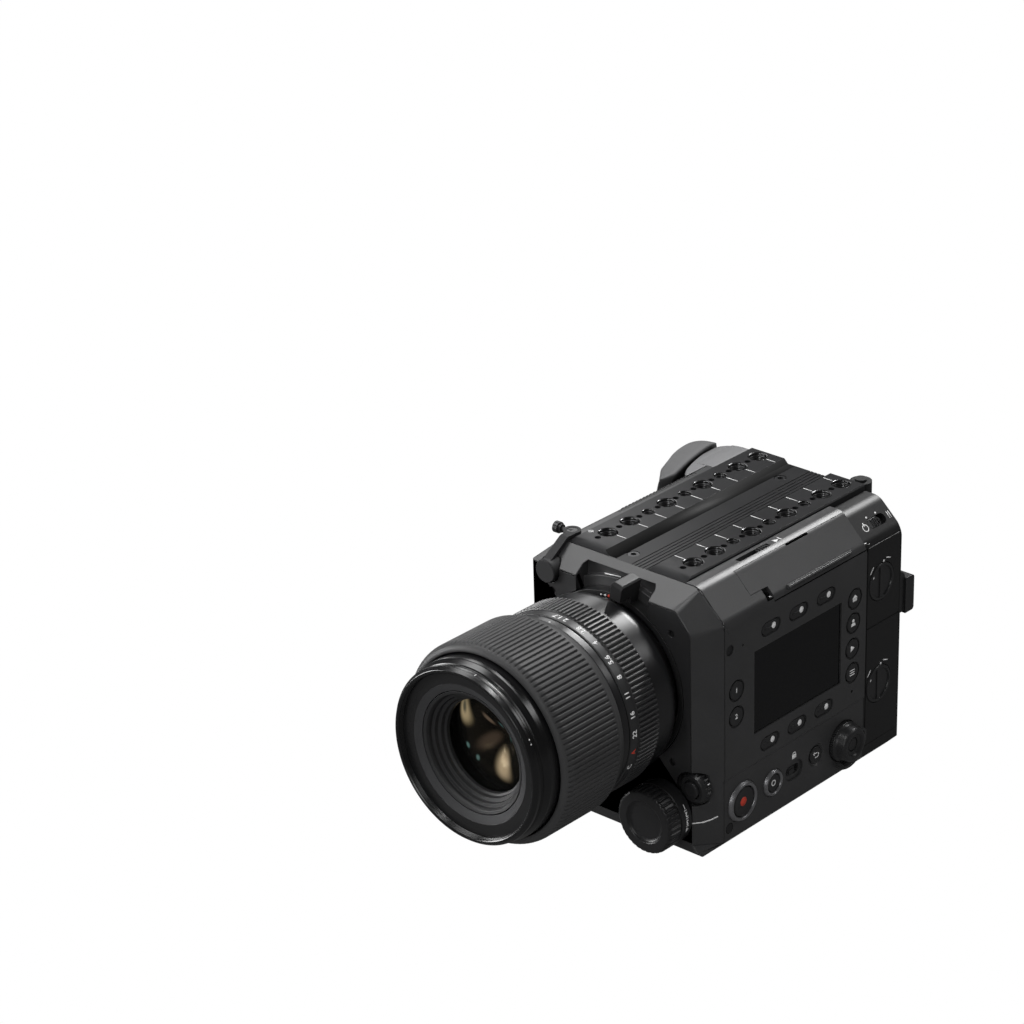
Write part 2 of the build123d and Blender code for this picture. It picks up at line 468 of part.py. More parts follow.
CLEAR = (-30.2, 20.6)
CLEAR_R = 4.4
BACK = (1.9, 21.2)
BACK_R = 4.2
LOCK = (-14.4, 21.4)
for (ky, kz), r in ((REC, REC_R + 2.8), (CLEAR, CLEAR_R + 2.4)):
    side -= cyl_x(ky, kz, r, SIDE_X - 2.4, SIDE_X + 1)
for (ky, kz), r in ((REC, REC_R), (CLEAR, CLEAR_R), (BACK, BACK_R)):
    side -= cyl_x(ky, kz, r + KEY_GAP, SIDE_X - SKIN - 1, SIDE_X + 1)
side -= turned_x([(0, LOW_X - 0.7), (BACK_R + 0.9, LOW_X - 0.7), (BACK_R + 1.6, LOW_X + 0.1), (0, LOW_X + 0.1)], *BACK)
side -= pill_x(LOCK[0], LOCK[1] - 1.2, 13.0, 9.6, LOW_X - 1.0, LOW_X + 1)
side -= pill_x(LOCK[0], LOCK[1] - 1.2, 9.4, 4.6, SIDE_X - SKIN - 1, LOW_X + 1)
side -= cyl_x(-52.5, 99.8, 0.6, SIDE_X - 1.5, SIDE_X + 1)
side -= cyl_x(28.1, 43.7, 0.8, SIDE_X - 1.2, SIDE_X + 1)
SIDE_SCREWS = [(-61.6, 100.6), (-61.4, 10.6)]
for ky, kz in SIDE_SCREWS:
    side -= cyl_x(ky, kz, 2.6, SIDE_X - 1.4, SIDE_X + 1)
    side -= cyl_x(ky, kz, 1.2 + SEAT, SIDE_X - SKIN - 1, SIDE_X)
# rotary encoder seat with its guard lip
ENC = (22.4, 20.0)
ENC_R = 9.9
guard = turned_x([(ENC_R + 0.8, LOW_X - 1), (13.4, LOW_X - 1), (13.4, 58.6), (12.9, 59.6), (11.6, 59.6), (ENC_R + 0.8, 57.6)], *ENC)
guard &= prism_x([(ENC[0], ENC[1]), (ENC[0] - 9, ENC[1] - 30), (60, -10), (60, ENC[1] + 6)], 50, 70)
side += guard & bx(50, 70, -60, NODE_Y1, 4.0, 60)
side -= cyl_x(ENC[0], ENC[1], ENC_R + 0.5, SIDE_X - 2.0, 70)
side -= cyl_x(ENC[0], ENC[1], 4.0 + RUN, SIDE_X - SKIN - 1, SIDE_X)
# eject slot on the top strip
EJECT_X = 37.6
EJECT_Y = (-33.5, -11.5)
side -= bx(EJECT_X - 1.5, EJECT_X + 1.5, EJECT_Y[0], EJECT_Y[1], TOP_Z - 2.2, TOP_Z + 1)
side -= bx(EJECT_X - 0.7, EJECT_X + 0.7, EJECT_Y[0] + 2, EJECT_Y[1] - 2, DECK_Z - 1, TOP_Z)
save("side_panel", side)

x_top = SLOPE_TOP_X + 0.4
door = prism_y([(x_top, SLOPE_SUM - x_top), SLOPE_LOW, (SIDE_X, 112.4), (PIN_X - 1.6, 112.4), (PIN_X - 1.6, DOOR_SUM - PIN_X + 1.6),
                (x_top, DOOR_SUM - x_top)], DOOR_Y[0] + 0.2, NODE_Y1 - 0.1)
door_round = [(0, TOP_Z), (SLOPE_TOP_X, TOP_Z), SLOPE_LOW, (SIDE_X, SLOPE_LOW[1] - 3.6), (SIDE_X, 90), (0, 90)]
door &= prism_y(door_round, DOOR_Y[0], DOOR_Y[1], ((1, SLOPE_ROUND), (2, SLOPE_ROUND), (3, SLOPE_ROUND)))
door -= bx(40, 60, DOOR_Y[0] - 1, LEDGE_Y + 0.2, 100, LEDGE_Z)
door -= prism_y([(54.9, 112.0), (57.0, 114.1), (57.0, 112.0)], DOOR_Y[0] - 1, DOOR_Y[1] + 1)
door += prism_y([(53.9, 115.8), (55.0, 116.3), (55.9, 115.3), (55.2, 113.9)], -19.2, 26.6)
door -= bx(SLOPE_TOP_X, SLOPE_TOP_X + 1.4, -5.2, 10.8, 120, 130)
door -= cyl_y(PIN_X, PIN_Z, 0.9 + RUN, LEDGE_Y, DOOR_Y[1])
save("media_door", door)

slider = bx(EJECT_X - 1.3, EJECT_X + 1.3, -19.6, -12.0, TOP_Z - 2.1, TOP_Z - 0.4)
for i in range(4):
    slider += bx(EJECT_X - 1.3, EJECT_X + 1.3, -18.6 + i * 1.5, -17.9 + i * 1.5, TOP_Z - 0.5, TOP_Z + 0.4)
slider += bx(EJECT_X - 0.55, EJECT_X + 0.55, -17.5, -14.0, DECK_Z + 0.1, TOP_Z - 2.0)
save("eject_slider", slider)

save("lcd_glass", bx(SIDE_X - 1.7, SIDE_X - 0.7, LCD_Y[0] + 0.2, LCD_Y[1] - 0.2, LCD_Z[0] + 0.2, LCD_Z[1] - 0.2))
save("lcd_module", bx(SIDE_X - SKIN + 0.05, SIDE_X - 1.75, LCD_Y[0] + 0.4, LCD_Y[1] - 0.4, LCD_Z[0] + 0.4, LCD_Z[1] - 0.4))

KEY_BACK = SIDE_X - SKIN + 1.1   # keys keep 1 mm of travel to the wall behind
for n, (ky, kz) in enumerate(SOFTKEYS):
    save("softkey_%d" % (n + 1), pill_x(ky, kz, SOFT_L, SOFT_W, KEY_BACK, SIDE_X - 0.3))
for name, (ky, kz) in ROUND.items():
    save(name, turned_x([(0, KEY_BACK), (KEY_R, KEY_BACK), (KEY_R, SIDE_X - 0.3), (KEY_R - 0.5, SIDE_X + 0.2),
                         (0, SIDE_X + 0.2)], ky, kz))
save("rec_button", turned_x([(0, KEY_BACK), (REC_R, KEY_BACK), (REC_R, SIDE_X + 0.3), (REC_R - 0.6, SIDE_X + 0.7),
                             (0, SIDE_X + 0.4)], *REC))
save("clear_button", turned_x([(0, KEY_BACK), (CLEAR_R, KEY_BACK), (CLEAR_R, SIDE_X - 0.1), (CLEAR_R - 0.5, SIDE_X + 0.3),
                               (0, SIDE_X + 0.3)], *CLEAR))
save("back_button", turned_x([(0, KEY_BACK), (BACK_R, KEY_BACK), (BACK_R, SIDE_X - 0.7), (BACK_R - 0.5, SIDE_X - 0.3),
                              (0, SIDE_X - 0.3)], *BACK))
bezel_rec = turned_x([(REC_R + 0.3, SIDE_X - 2.4), (REC_R + 2.6, SIDE_X - 2.4), (REC_R + 2.6, SIDE_X - 0.2),
                      (REC_R + 1.4, SIDE_X + 1.2), (REC_R + 0.6, SIDE_X + 1.2), (REC_R + 0.3, SIDE_X + 0.8)], *REC)
bezel_clear = turned_x([(CLEAR_R + 0.3, SIDE_X - 2.4), (CLEAR_R + 2.2, SIDE_X - 2.4), (CLEAR_R + 2.2, SIDE_X - 0.4),
                        (CLEAR_R + 1.0, SIDE_X + 1.0), (CLEAR_R + 0.3, SIDE_X + 0.6)], *CLEAR)
save("key_bezels", bezel_rec, bezel_clear)
lock_knob = pill_x(LOCK[0] - 1.7, LOCK[1] - 1.2, 5.6, 4.1, KEY_BACK, LOW_X - 0.8)
lock_knob += bx(LOW_X - 0.9, LOW_X - 0.1, LOCK[0] - 3.6, LOCK[0] + 0.2, LOCK[1] - 2.1, LOCK[1] - 0.3)
save("lock_slider", lock_knob)

enc = turned_x([(4.0, SIDE_X - SKIN + 0.2), (4.0, SIDE_X - 1.8), (ENC_R, SIDE_X - 1.8), (ENC_R, 57.2), (8.9, 58.2), (8.3, 62.2),
                (7.6, 62.9), (5.6, 62.9), (5.0, 61.9), (3.4, 61.6), (3.4, SIDE_X - SKIN + 0.2)], *ENC)
save("encoder_dial", enc)
save("encoder_button", turned_x([(0, SIDE_X - SKIN + 1.2), (3.3, SIDE_X - SKIN + 1.2), (3.3, 61.3), (2.6, 61.6), (0, 61.4)], *ENC))

# Top plate
CHANNEL_FLOOR = RAIL_Z - 2.2
half_line = [(PLATE_HALF, DECK_Z), (PLATE_HALF, RAIL_Z - 0.6), (PLATE_HALF - 0.6, RAIL_Z), (CHANNEL_HALF, RAIL_Z),
             (CHANNEL_HALF - 2.2, CHANNEL_FLOOR)]
plate = prism_y(half_line + [(-x, z) for x, z in reversed(half_line)], SEAM_Y + SEAT, REAR_Y)
plate -= prism_x([(SEAM_Y, TOP_Z - 0.5), (SEAM_Y, RAIL_Z + 1), (-60.4, RAIL_Z + 1), (-60.4, RAIL_Z)], -50, 50)
for i in range(5):
    gx = 1.8 + i * 2.1
    plate -= bx(gx, gx + 0.5, SEAM_Y, REAR_Y + 1, CHANNEL_FLOOR - 0.4, CHANNEL_FLOOR + 1)
big_y = [FIRST_Y, FIRST_Y + NEAR_STEP]
big_y += [big_y[1] + FAR_STEP, big_y[1] + 2 * FAR_STEP, big_y[1] + 3 * FAR_STEP]
big_y.append(big_y[-1] + NEAR_STEP)
small_y = [(big_y[i] + big_y[i + 1]) / 2 for i in (1, 2, 3)]
all_y = sorted(big_y + small_y)
pin_y = [FIRST_Y - 7.1] + [(a + b) / 2 for a, b in zip(all_y, all_y[1:])]
BORE_Z = DECK_Z + 0.4
PIN_FLOOR_Z = RAIL_Z - 2.5


def mouth(x, y, r, r_mouth):
    drop = r_mouth - r
    cone = Pos(x, y, RAIL_Z - drop / 2) * Cone(r, r_mouth, drop)
    return cone + cyl_z(x, y, r, BORE_Z, RAIL_Z + 0.5)


for sx in (-ROW_X, ROW_X):
    for y in big_y:
        plate -= mouth(sx, y, BIG_R, BIG_MOUTH_R)
    for y in small_y:
        plate -= mouth(sx, y, SMALL_R, SMALL_MOUTH_R)
    for y in pin_y:
        plate -= cyl_z(sx, y, PIN_R, PIN_FLOOR_Z, RAIL_Z + 1)
CHANNEL_SCREWS = [(-4.4, -55.2), (-4.4, 50.4)]
for sx, sy in CHANNEL_SCREWS:
    plate -= cyl_z(sx, sy, 3.0, CHANNEL_FLOOR - 1.4, CHANNEL_FLOOR + 1)
save("top_plate", plate)

# Rear module
RS_X = 55.5
R0 = REAR_SEAM_Y + GAP / 2
rear_line = [(LEFT_X, 0.0), LEFT_SLOPE[0], (LEFT_X + LEFT_RUN - 2.0, REAR_TOP_Z), (0.2 - DECK_HALF, REAR_TOP_Z),
             (0.2 - DECK_HALF, DECK_Z), (DECK_HALF - 0.2, DECK_Z), (DECK_HALF - 0.2, REAR_TOP_Z),
             (SLOPE_TOP_X + 0.5, REAR_TOP_Z), (RS_X - 2.1, SLOPE_LOW[1] + 0.4), (RS_X, SLOPE_LOW[1] - 3.8),
             (RS_X, BEVEL_Z), (FOOT_X, 0.0)]
rear = prism_y(rear_line, R0, REAR_Y, ((1, 3.0), (2, 3.0), (7, SLOPE_ROUND), (8, SLOPE_ROUND), (9, SLOPE_ROUND)))
# rounded lower and upper rear edges
rear &= prism_x([(R0, 0.0), (R0, TOP_Z + 5), (REAR_Y - 3, TOP_Z + 5), (REAR_Y - 3, REAR_TOP_Z + 1), (REAR_Y, REAR_TOP_Z),
                 (REAR_Y, 0.0)], LEFT_X - 5, SIDE_X + 5, ((5, 5.0),))
BAT_W = 38.5
BAT_D = 22.8
BAT_L = 52.3
DOORS = {"upper": (71.2, 112.2, 92.0, 50.1), "lower": (10.0, 70.6, 39.2, 49.4)}
DOOR_Y0, DOOR_Y1 = 39.6, 64.3
DOOR_T = 2.8
HINGE_Y = 41.2
HINGE_X = RS_X - 1.5
BAY_Y0, BAY_Y1 = 40.2, 63.5
for low, high, dial_z, dial_y in DOORS.values():
    rear -= bx(RS_X - DOOR_T - 0.2, RS_X + 2, DOOR_Y0 - 0.2, DOOR_Y1 + 0.2, low - 0.2, high + 0.2)
    rear -= bx(RS_X - DOOR_T - 4.2, RS_X, BAY_Y0, BAY_Y1, dial_z - 20.0, dial_z + 20.0)
    rear -= bx(-2.5, RS_X, BAY_Y0, BAY_Y1, dial_z - BAT_W / 2 - 0.4, dial_z + BAT_W / 2 + 0.4)
    rear -= cyl_z(HINGE_X, HINGE_Y, 2.6, low - 0.2, high + 0.2)
PIN_SPANS = [(8.2, 27.6), (51.0, 80.6), (103.4, 114.0)]   # short pins that clear the lock dials
for low, high in PIN_SPANS:
    rear -= cyl_z(HINGE_X, HINGE_Y, 0.9, low, high)
rear -= cyl_y(PIN_X, PIN_Z, 0.9, R0 - 1, PIN_SPAN[1])
POWER_Y = (47.6, 60.4)
sx0, sz0 = 49.2, 119.4
power_pl = Plane(origin=(sx0, (POWER_Y[0] + POWER_Y[1]) / 2, sz0), x_dir=(0, 1, 0), z_dir=(10.6, 0, 11.4))
POWER_W = 5.2


def pill(length, width, height):
    """A plate with round ends, its length along the local X."""
    reach = (length - width) / 2
    body = Box(2 * reach, width, height)
    return body + Pos(-reach, 0, 0) * Cylinder(width / 2, height) + Pos(reach, 0, 0) * Cylinder(width / 2, height)


rear -= power_pl * pill(POWER_Y[1] - POWER_Y[0], POWER_W, 5.0)
save("rear_housing", rear)
knob = Pos(-1.9, 0, -1.2) * pill(8.6, POWER_W - 0.4, 2.4)
for i in range(3):
    knob += Pos(-3.1 + i * 1.2, 0, 0.3) * Box(0.6, 3.6, 1.0)
save("power_slider", power_pl * knob)

pins = [cyl_y(PIN_X, PIN_Z, 0.9, *PIN_SPAN)]
pins += [cyl_z(HINGE_X, HINGE_Y, 0.9, low, high) for low, high in PIN_SPANS]
cells = []
for key, (low, high, dial_z, dial_y) in DOORS.items():
    leaf = bx(RS_X - DOOR_T, RS_X, DOOR_Y0, DOOR_Y1, low, high)
    leaf -= cyl_x(dial_y, dial_z, 9.3 + SEAT, RS_X - 1.6, RS_X + 1)
    leaf -= cyl_x(dial_y, dial_z, 2.5 + RUN, RS_X - 5, RS_X + 1)
    leaf -= prism_z([(RS_X - DOOR_T - 1, DOOR_Y0 - 1), (RS_X - DOOR_T - 1, DOOR_Y0 + 1.0), (RS_X - DOOR_T + 1.4, DOOR_Y0 - 1)], low - 1, high + 1)
    leaf -= cyl_z(HINGE_X, HINGE_Y, 0.9 + RUN, low - 1, high + 1)
    save("battery_door_" + key, leaf)
    disc = cyl_x(dial_y, dial_z, 9.3, RS_X - 1.5, RS_X - 0.2)
    ring = turned_x([(7.7, RS_X - 0.4), (9.3, RS_X - 0.4), (9.3, RS_X + 0.1), (9.0, RS_X + 0.4), (7.9, RS_X + 0.4)], dial_y, dial_z)
    fin = bx(RS_X - 0.4, RS_X + 0.3, dial_y - 1.2, dial_y + 1.2, dial_z - 7.8, dial_z + 7.8)
    shaft = cyl_x(dial_y, dial_z, 2.5, RS_X - 5.0, RS_X - 1.4)
    cam = bx(RS_X - 4.9, RS_X - 3.1, dial_y - 2.6, dial_y + 2.6, dial_z - 2.6, dial_z + 8.5)
    save("lock_dial_" + key, disc + ring + fin + shaft + cam)
    y0 = (BAY_Y0 + BAY_Y1 - BAT_D) / 2
    cells.append(bx(-2.2, -2.2 + BAT_L - 0.6, y0, y0 + BAT_D, dial_z - BAT_W / 2, dial_z + BAT_W / 2))
save("batteries", *cells)
save("hinge_pins", *pins)

COVER_Y = REAR_Y + 2.2
cover = prism_y([(-38, 14), (-40, 16), (-40, 116), (-38, 118), (38, 118), (40, 116), (40, 16), (38, 14)], REAR_Y, COVER_Y)
COVER_SCREWS = [(sx * 35.0, z) for sx in (-1, 1) for z in (20.0, 112.0)]
for hx, hz in COVER_SCREWS:
    cover -= cyl_y(hx, hz, 2.9, COVER_Y - 1.2, COVER_Y + 1)
save("rear_cover", cover)
# latch: a round-topped arm on the rear face, carrying an upright block
LATCH_X = (46.8, 54.0)
LATCH_Z = (66.6, 88.8)
arm_yz = [(REAR_Y + GAP, LATCH_Z[0] + 1), (REAR_Y + GAP, LATCH_Z[1]), (72.2, LATCH_Z[1]), (72.2, LATCH_Z[0] + 1)]
block_yz = [(71.6, LATCH_Z[0]), (71.6, LATCH_Z[1] - 4), (78.3, LATCH_Z[1] - 4), (78.3, LATCH_Z[0])]
latch = prism_x(arm_yz, LATCH_X[0] + 1, LATCH_X[1] - 1, ((2, 4.0),))
latch += prism_x(block_yz, *LATCH_X, ((1, 1.2), (2, 1.6), (3, 1.6)))
save("rear_latch", latch)

LUG_X, LUG_Y, LUG_R = 28.0, 69.9, 5.2
LUG_Z = (120.6, 128.2)
lug = cyl_z(LUG_X, LUG_Y, LUG_R, *LUG_Z) + bx(LUG_X - 4, LUG_X + 4, REAR_Y, LUG_Y + 0.6, LUG_Z[0], LUG_Z[0] + 3.4)
lug += cyl_z(LUG_X, LUG_Y, 2.9, LUG_Z[1] - 0.2, LUG_Z[1] + 1.2)
lug -= cyl_x(LUG_Y + 0.7, LUG_Z[0] + 2, 1.4, LUG_X - 8, LUG_X + 8)
lug -= bx(LUG_X - 8, LUG_X + 8, REAR_Y - 5, REAR_Y, LUG_Z[0] - 2, LUG_Z[1] + 4)
save("strap_lug", lug)

# Base
foot = bx(FOOT[0] + GAP, FOOT[1] - GAP, FOOT[2] + GAP, FOOT[3] - GAP, 0.0, BASE_T)
for hy in (-THREAD_STEP, 0.0, THREAD_STEP):
    r = BIG_R if hy == 0 else SMALL_R
    foot += cyl_z(0, hy, BOSS_R if hy == 0 else SMALL_BOSS_R, BASE_T, BOSS_TOP)
    foot -= cyl_z(0, hy, r, -1, THREAD_DEPTH)
for hx in (-12.0, 12.0):
    foot -= cyl_z(hx, 0, 2.0, -1, 3.0)
BASE_SCREWS = [(sx * 38.0, y) for sx in (-1, 1) for y in (-58.0, 28.0)]
for hx, hy in BASE_SCREWS:
    foot -= cyl_z(hx, hy, 2.9, -1, 1.6)
save("base_plate", foot)

# Grip and strap on the far side
profile = [(-38.7, 128.0), (-44.0, 127.5), (-48.0, 126.5), (-52.0, 125.1), (-55.2, 123.5), (-58.2, 121.2), (-60.6, 117.4),
           (-61.8, 112.0), (-61.8, 32.0), (-60.0, 22.0), (-55.0, 15.0), (-48.6, 12.0), (-48.6, 118.1)]
plan = [(-38.5, 23.0), (-41.8, 26.0), (-44.8, 31.0), (-47.8, 37.5), (-51.0, 45.5), (-54.0, 53.0), (-57.4, 59.6), (-61.8, 63.4),
        (-61.8, REAR_Y), (-38.5, REAR_Y)]
grip = prism_y(profile, 20.0, 66.0) & prism_z(plan, 0.0, 140.0)
save("grip_body", grip)

# the padded band, as level outlines: outer line from front to rear, then the inner line back
LEVELS = {
    68.0: ([(-48.5, 3), (-56, 9), (-64, 18), (-69.5, 28), (-72.5, 40), (-72.5, 52), (-69.5, 61), (-64, 67), (-56, 68.5)],
           [(-56, 65.3), (-61.9, 65.3), (-62.6, 62), (-63.5, 54), (-63.5, 44), (-61.5, 34), (-57.5, 25), (-53, 18.5), (-48.5, 14)]),
    98.0: ([(-48.5, 3), (-57.5, 8), (-68, 17), (-74.5, 27), (-78, 40), (-78, 52), (-74.5, 62), (-67, 69), (-56, 70)],
           [(-56, 65.3), (-61.9, 65.3), (-63.5, 62), (-66, 54), (-66.5, 44), (-64.5, 34), (-59.5, 25), (-53.5, 17), (-48.5, 13)]),
    116.0: ([(-48.5, 6), (-53.5, 12), (-61.5, 23), (-67, 33), (-70.5, 43), (-72, 53), (-70.5, 61), (-66, 67.5), (-56, 69)],
            [(-56, 65.3), (-61.9, 65.3), (-62.3, 61), (-61.5, 54), (-59.5, 45), (-56.5, 36), (-53.5, 28.5), (-51, 22), (-48.5, 17)]),
    126.0: ([(-46.6, 12.5), (-50, 18), (-57, 28.5), (-61, 37.5), (-64, 46), (-65.4, 54), (-65.4, 60), (-63.4, 65.6), (-57, 67.6)],
            [(-55, 65.3), (-55.5, 63.5), (-54.6, 60), (-53.6, 55), (-52.3, 48.5), (-50.6, 41), (-48.9, 34.5), (-46.8, 28.5), (-44.9, 23)]),
}
rings = []
for z, (outer, inner) in LEVELS.items():
    rings.append(make_face(Polyline(*[(x, y, z) for x, y in outer + inner], close=True)))
strap = loft(rings, ruled=True)
strap -= prism_y(outer_left + [(0, TOP_Z), (0, 0)], SEAM_Y, REAR_Y)
strap -= grip
save("hand_strap", strap)

# Inside
SENSOR_Y = FLANGE_Y + SENSOR_BACK
board = bx(-36, 36, SENSOR_Y + 1.6, SENSOR_Y + 4.2, 48, 104) + bx(-24, 24, SENSOR_Y, SENSOR_Y + 1.8, LENS_Z - 18, LENS_Z + 18)
for px in (-32, 32):
    for pz in (52, 100):
        board += cyl_y(px, pz, 2.5, SEAM_Y - GAP / 2, SENSOR_Y + 1.8)   # posts down from the front frame
save("sensor_unit", board)
nd = bx(-28, 28, -63.0, -52.0, LENS_Z - 45, LENS_Z + 34)
nd -= cyl_y(0, LENS_Z, 24.5, -64, -51)
pane = cyl_y(0, LENS_Z, 24.5 - SEAT, -59.0, -56.0)
nd += bx(-10, 10, SEAM_Y - GAP / 2, -62.0, LENS_Z - 44, LENS_Z - 38.4)
save("nd_filter_unit", nd, pane)

# fasteners: front panel, side panel, top channel, base and rear cover
heads = []
for hx, hz in PANEL_HOLES:
    heads.append(cyl_y(hx, hz, 1.2, FRONT_Y + 1.0, -68.4))
for ky, kz in SIDE_SCREWS:
    heads.append(cyl_x(ky, kz, 2.3, SIDE_X - 1.4, SIDE_X - 0.5) + cyl_x(ky, kz, 1.2, SIDE_X - SKIN + 0.1, SIDE_X - 1.0))
for sx, sy in CHANNEL_SCREWS:
    head = cyl_z(sx, sy, 2.7, CHANNEL_FLOOR - 1.4, CHANNEL_FLOOR - 0.2)
    heads.append(head - prism_z([(sx + 1.4 * math.cos(math.radians(60 * i)), sy + 1.4 * math.sin(math.radians(60 * i)))
                                 for i in range(6)], CHANNEL_FLOOR - 1.0, CHANNEL_FLOOR))
for hx, hy in BASE_SCREWS:
    heads.append(cyl_z(hx, hy, 2.6, 0.3, 1.6))
for hx, hz in COVER_SCREWS:
    heads.append(cyl_y(hx, hz, 2.6, COVER_Y - 1.2, COVER_Y - 0.1))
save("case_screws", *heads)

print(len(made), "nodes")
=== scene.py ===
import math
import bpy
import bmesh
import numpy as np
from mathutils import Matrix, Vector


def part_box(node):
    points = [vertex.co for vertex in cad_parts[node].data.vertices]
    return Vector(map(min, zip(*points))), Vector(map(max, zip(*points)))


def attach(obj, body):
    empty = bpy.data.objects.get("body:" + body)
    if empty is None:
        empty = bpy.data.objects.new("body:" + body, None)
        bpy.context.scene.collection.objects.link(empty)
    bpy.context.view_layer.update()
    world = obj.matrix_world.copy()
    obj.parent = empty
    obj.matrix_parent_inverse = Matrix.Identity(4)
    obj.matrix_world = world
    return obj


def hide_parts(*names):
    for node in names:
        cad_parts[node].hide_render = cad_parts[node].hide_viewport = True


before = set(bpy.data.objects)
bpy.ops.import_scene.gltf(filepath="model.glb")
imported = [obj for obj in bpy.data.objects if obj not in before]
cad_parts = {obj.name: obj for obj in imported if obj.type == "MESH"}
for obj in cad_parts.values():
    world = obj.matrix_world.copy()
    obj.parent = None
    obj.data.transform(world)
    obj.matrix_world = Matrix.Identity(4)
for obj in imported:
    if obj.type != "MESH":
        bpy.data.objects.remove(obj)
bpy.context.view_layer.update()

# Studio. The product stands on a pale floor that the lens sees as white, seen from its front right
# corner and a little above with a long lens; the frame is shifted because the product sits low in it.
eye = bpy.data.cameras.new("photo_camera")
eye.lens = 122.01
eye.sensor_width = 36.0
eye.shift_x = -0.21525
eye.shift_y = 0.16409
camera = bpy.data.objects.new("photo_camera", eye)
bpy.context.collection.objects.link(camera)
camera.location = (0.90601, -1.11359, 0.79272)
camera.rotation_mode = "QUATERNION"
camera.rotation_quaternion = Vector((-0.55651, 0.68984, -0.46306)).to_track_quat("-Z", "Y")
bpy.context.scene.camera = camera
bpy.context.scene.view_settings.view_transform = "Standard"


def seen_as(tree, lit, white, dim):
    """Camera rays meet the white shader, glossy rays the dim one, and all other rays the lit one."""
    path = tree.nodes.new("ShaderNodeLightPath")
    glossy = tree.nodes.new("ShaderNodeMixShader")
    seen = tree.nodes.new("ShaderNodeMixShader")
    tree.links.new(path.outputs["Is Glossy Ray"], glossy.inputs[0])
    tree.links.new(lit.outputs[0], glossy.inputs[1])
    tree.links.new(dim.outputs[0], glossy.inputs[2])
    tree.links.new(path.outputs["Is Camera Ray"], seen.inputs[0])
    tree.links.new(glossy.outputs[0], seen.inputs[1])
    tree.links.new(white.outputs[0], seen.inputs[2])
    return seen


def glow(tree, kind, grey):
    """An emission or background shader of one grey."""
    node = tree.nodes.new(kind)
    node.inputs["Color"].default_value = (grey, grey, grey, 1)
    return node


floor_half = 4.0
floor_mesh = bpy.data.meshes.new("studio_floor")
floor_corners = [(x * floor_half, y * floor_half, 0) for x, y in ((-1, -1), (1, -1), (1, 1), (-1, 1))]
floor_mesh.from_pydata(floor_corners, [], [(0, 1, 2, 3)])
floor = bpy.data.objects.new("studio_floor", floor_mesh)
bpy.context.collection.objects.link(floor)
floor_paint = bpy.data.materials.new("studio_floor")
floor_paint.use_nodes = True
tree = floor_paint.node_tree
tree.nodes.clear()
matt = tree.nodes.new("ShaderNodeBsdfDiffuse")
matt.inputs["Color"].default_value = (0.42, 0.42, 0.42, 1)
shown = seen_as(tree, matt, glow(tree, "ShaderNodeEmission", 1.0), glow(tree, "ShaderNodeEmission", 0.11))
tree.links.new(shown.outputs[0], tree.nodes.new("ShaderNodeOutputMaterial").inputs["Surface"])
floor_mesh.materials.append(floor_paint)

world = bpy.data.worlds.new("studio")
bpy.context.scene.world = world
world.use_nodes = True
tree = world.node_tree
tree.nodes.clear()
ambient, white, dim = (glow(tree, "ShaderNodeBackground", grey) for grey in (0.34, 1.0, 0.04))
shown = seen_as(tree, ambient, white, dim)
tree.links.new(shown.outputs[0], tree.nodes.new("ShaderNodeOutputWorld").inputs["Surface"])


def soft_box(name, place, target, size, watts):
    """A rectangular soft box at a place, turned to face a target."""
    lamp = bpy.data.lights.new(name, "AREA")
    lamp.shape = "RECTANGLE"
    lamp.size, lamp.size_y = size
    lamp.energy = watts
    box = bpy.data.objects.new(name, lamp)
    bpy.context.collection.objects.link(box)
    box.location = place
    box.rotation_mode = "QUATERNION"
    box.rotation_quaternion = (Vector(target) - Vector(place)).to_track_quat("-Z", "Y")


soft_box("rear_strip", (-0.15, 0.93, 1.02), (0.03, 0.0, 0.12), (0.50, 0.12), 12)
soft_box("overhead_box", (-0.66, -0.33, 1.08), (0, 0, 0.1), (0.6, 0.6), 5.6)
soft_box("control_side_box", (0.95, 1.05, 1.15), (0.05, -0.1, 0.09), (0.22, 0.6), 2.2)
soft_box("lens_side_box", (0.5, -1.7, 0.7), (0, -0.1, 0.07), (0.7, 0.5), 4.5)
soft_box("front_top_box", (0.02, -0.72, 1.14), (0, -0.07, 0.12), (0.17, 0.17), 3.0)
soft_box("far_side_box", (-0.95, 0.42, 0.20), (0, 0, 0.12), (0.2, 0.2), 0.5)
soft_box("near_left_box", (-0.36, 0.27, 0.40), (0, 0, 0.13), (0.16, 0.16), 0.28)
soft_box("low_left_box", (-0.62, -0.44, 0.14), (0, -0.17, 0.08), (0.26, 0.26), 2.6)

# Base plate and body shell. The shell is a light-alloy casting with a fine satin dark grey paint; the
# threaded base plate is let into its underside and held by four screws.
mm = 0.001
LENS_Z = 75.8
FLANGE_Y = -73.4
INK = 0.05


def sum_of(tree, *terms):
    """A chain of multiply-add nodes: the sum of each (socket, factor), plus the numbers given alone."""
    total = None
    for term in terms:
        node = tree.nodes.new("ShaderNodeMath")
        if isinstance(term, (int, float)):
            node.operation = "ADD"
            node.inputs[1].default_value = term
            tree.links.new(total, node.inputs[0])
        else:
            node.operation = "MULTIPLY_ADD"
            tree.links.new(term[0], node.inputs[0])
            if isinstance(term[1], (int, float)):
                node.inputs[1].default_value = term[1]
            else:
                tree.links.new(term[1], node.inputs[1])
            if total is None:
                node.inputs[2].default_value = 0.0
            else:
                tree.links.new(total, node.inputs[2])
        total = node.outputs[0]
    return total


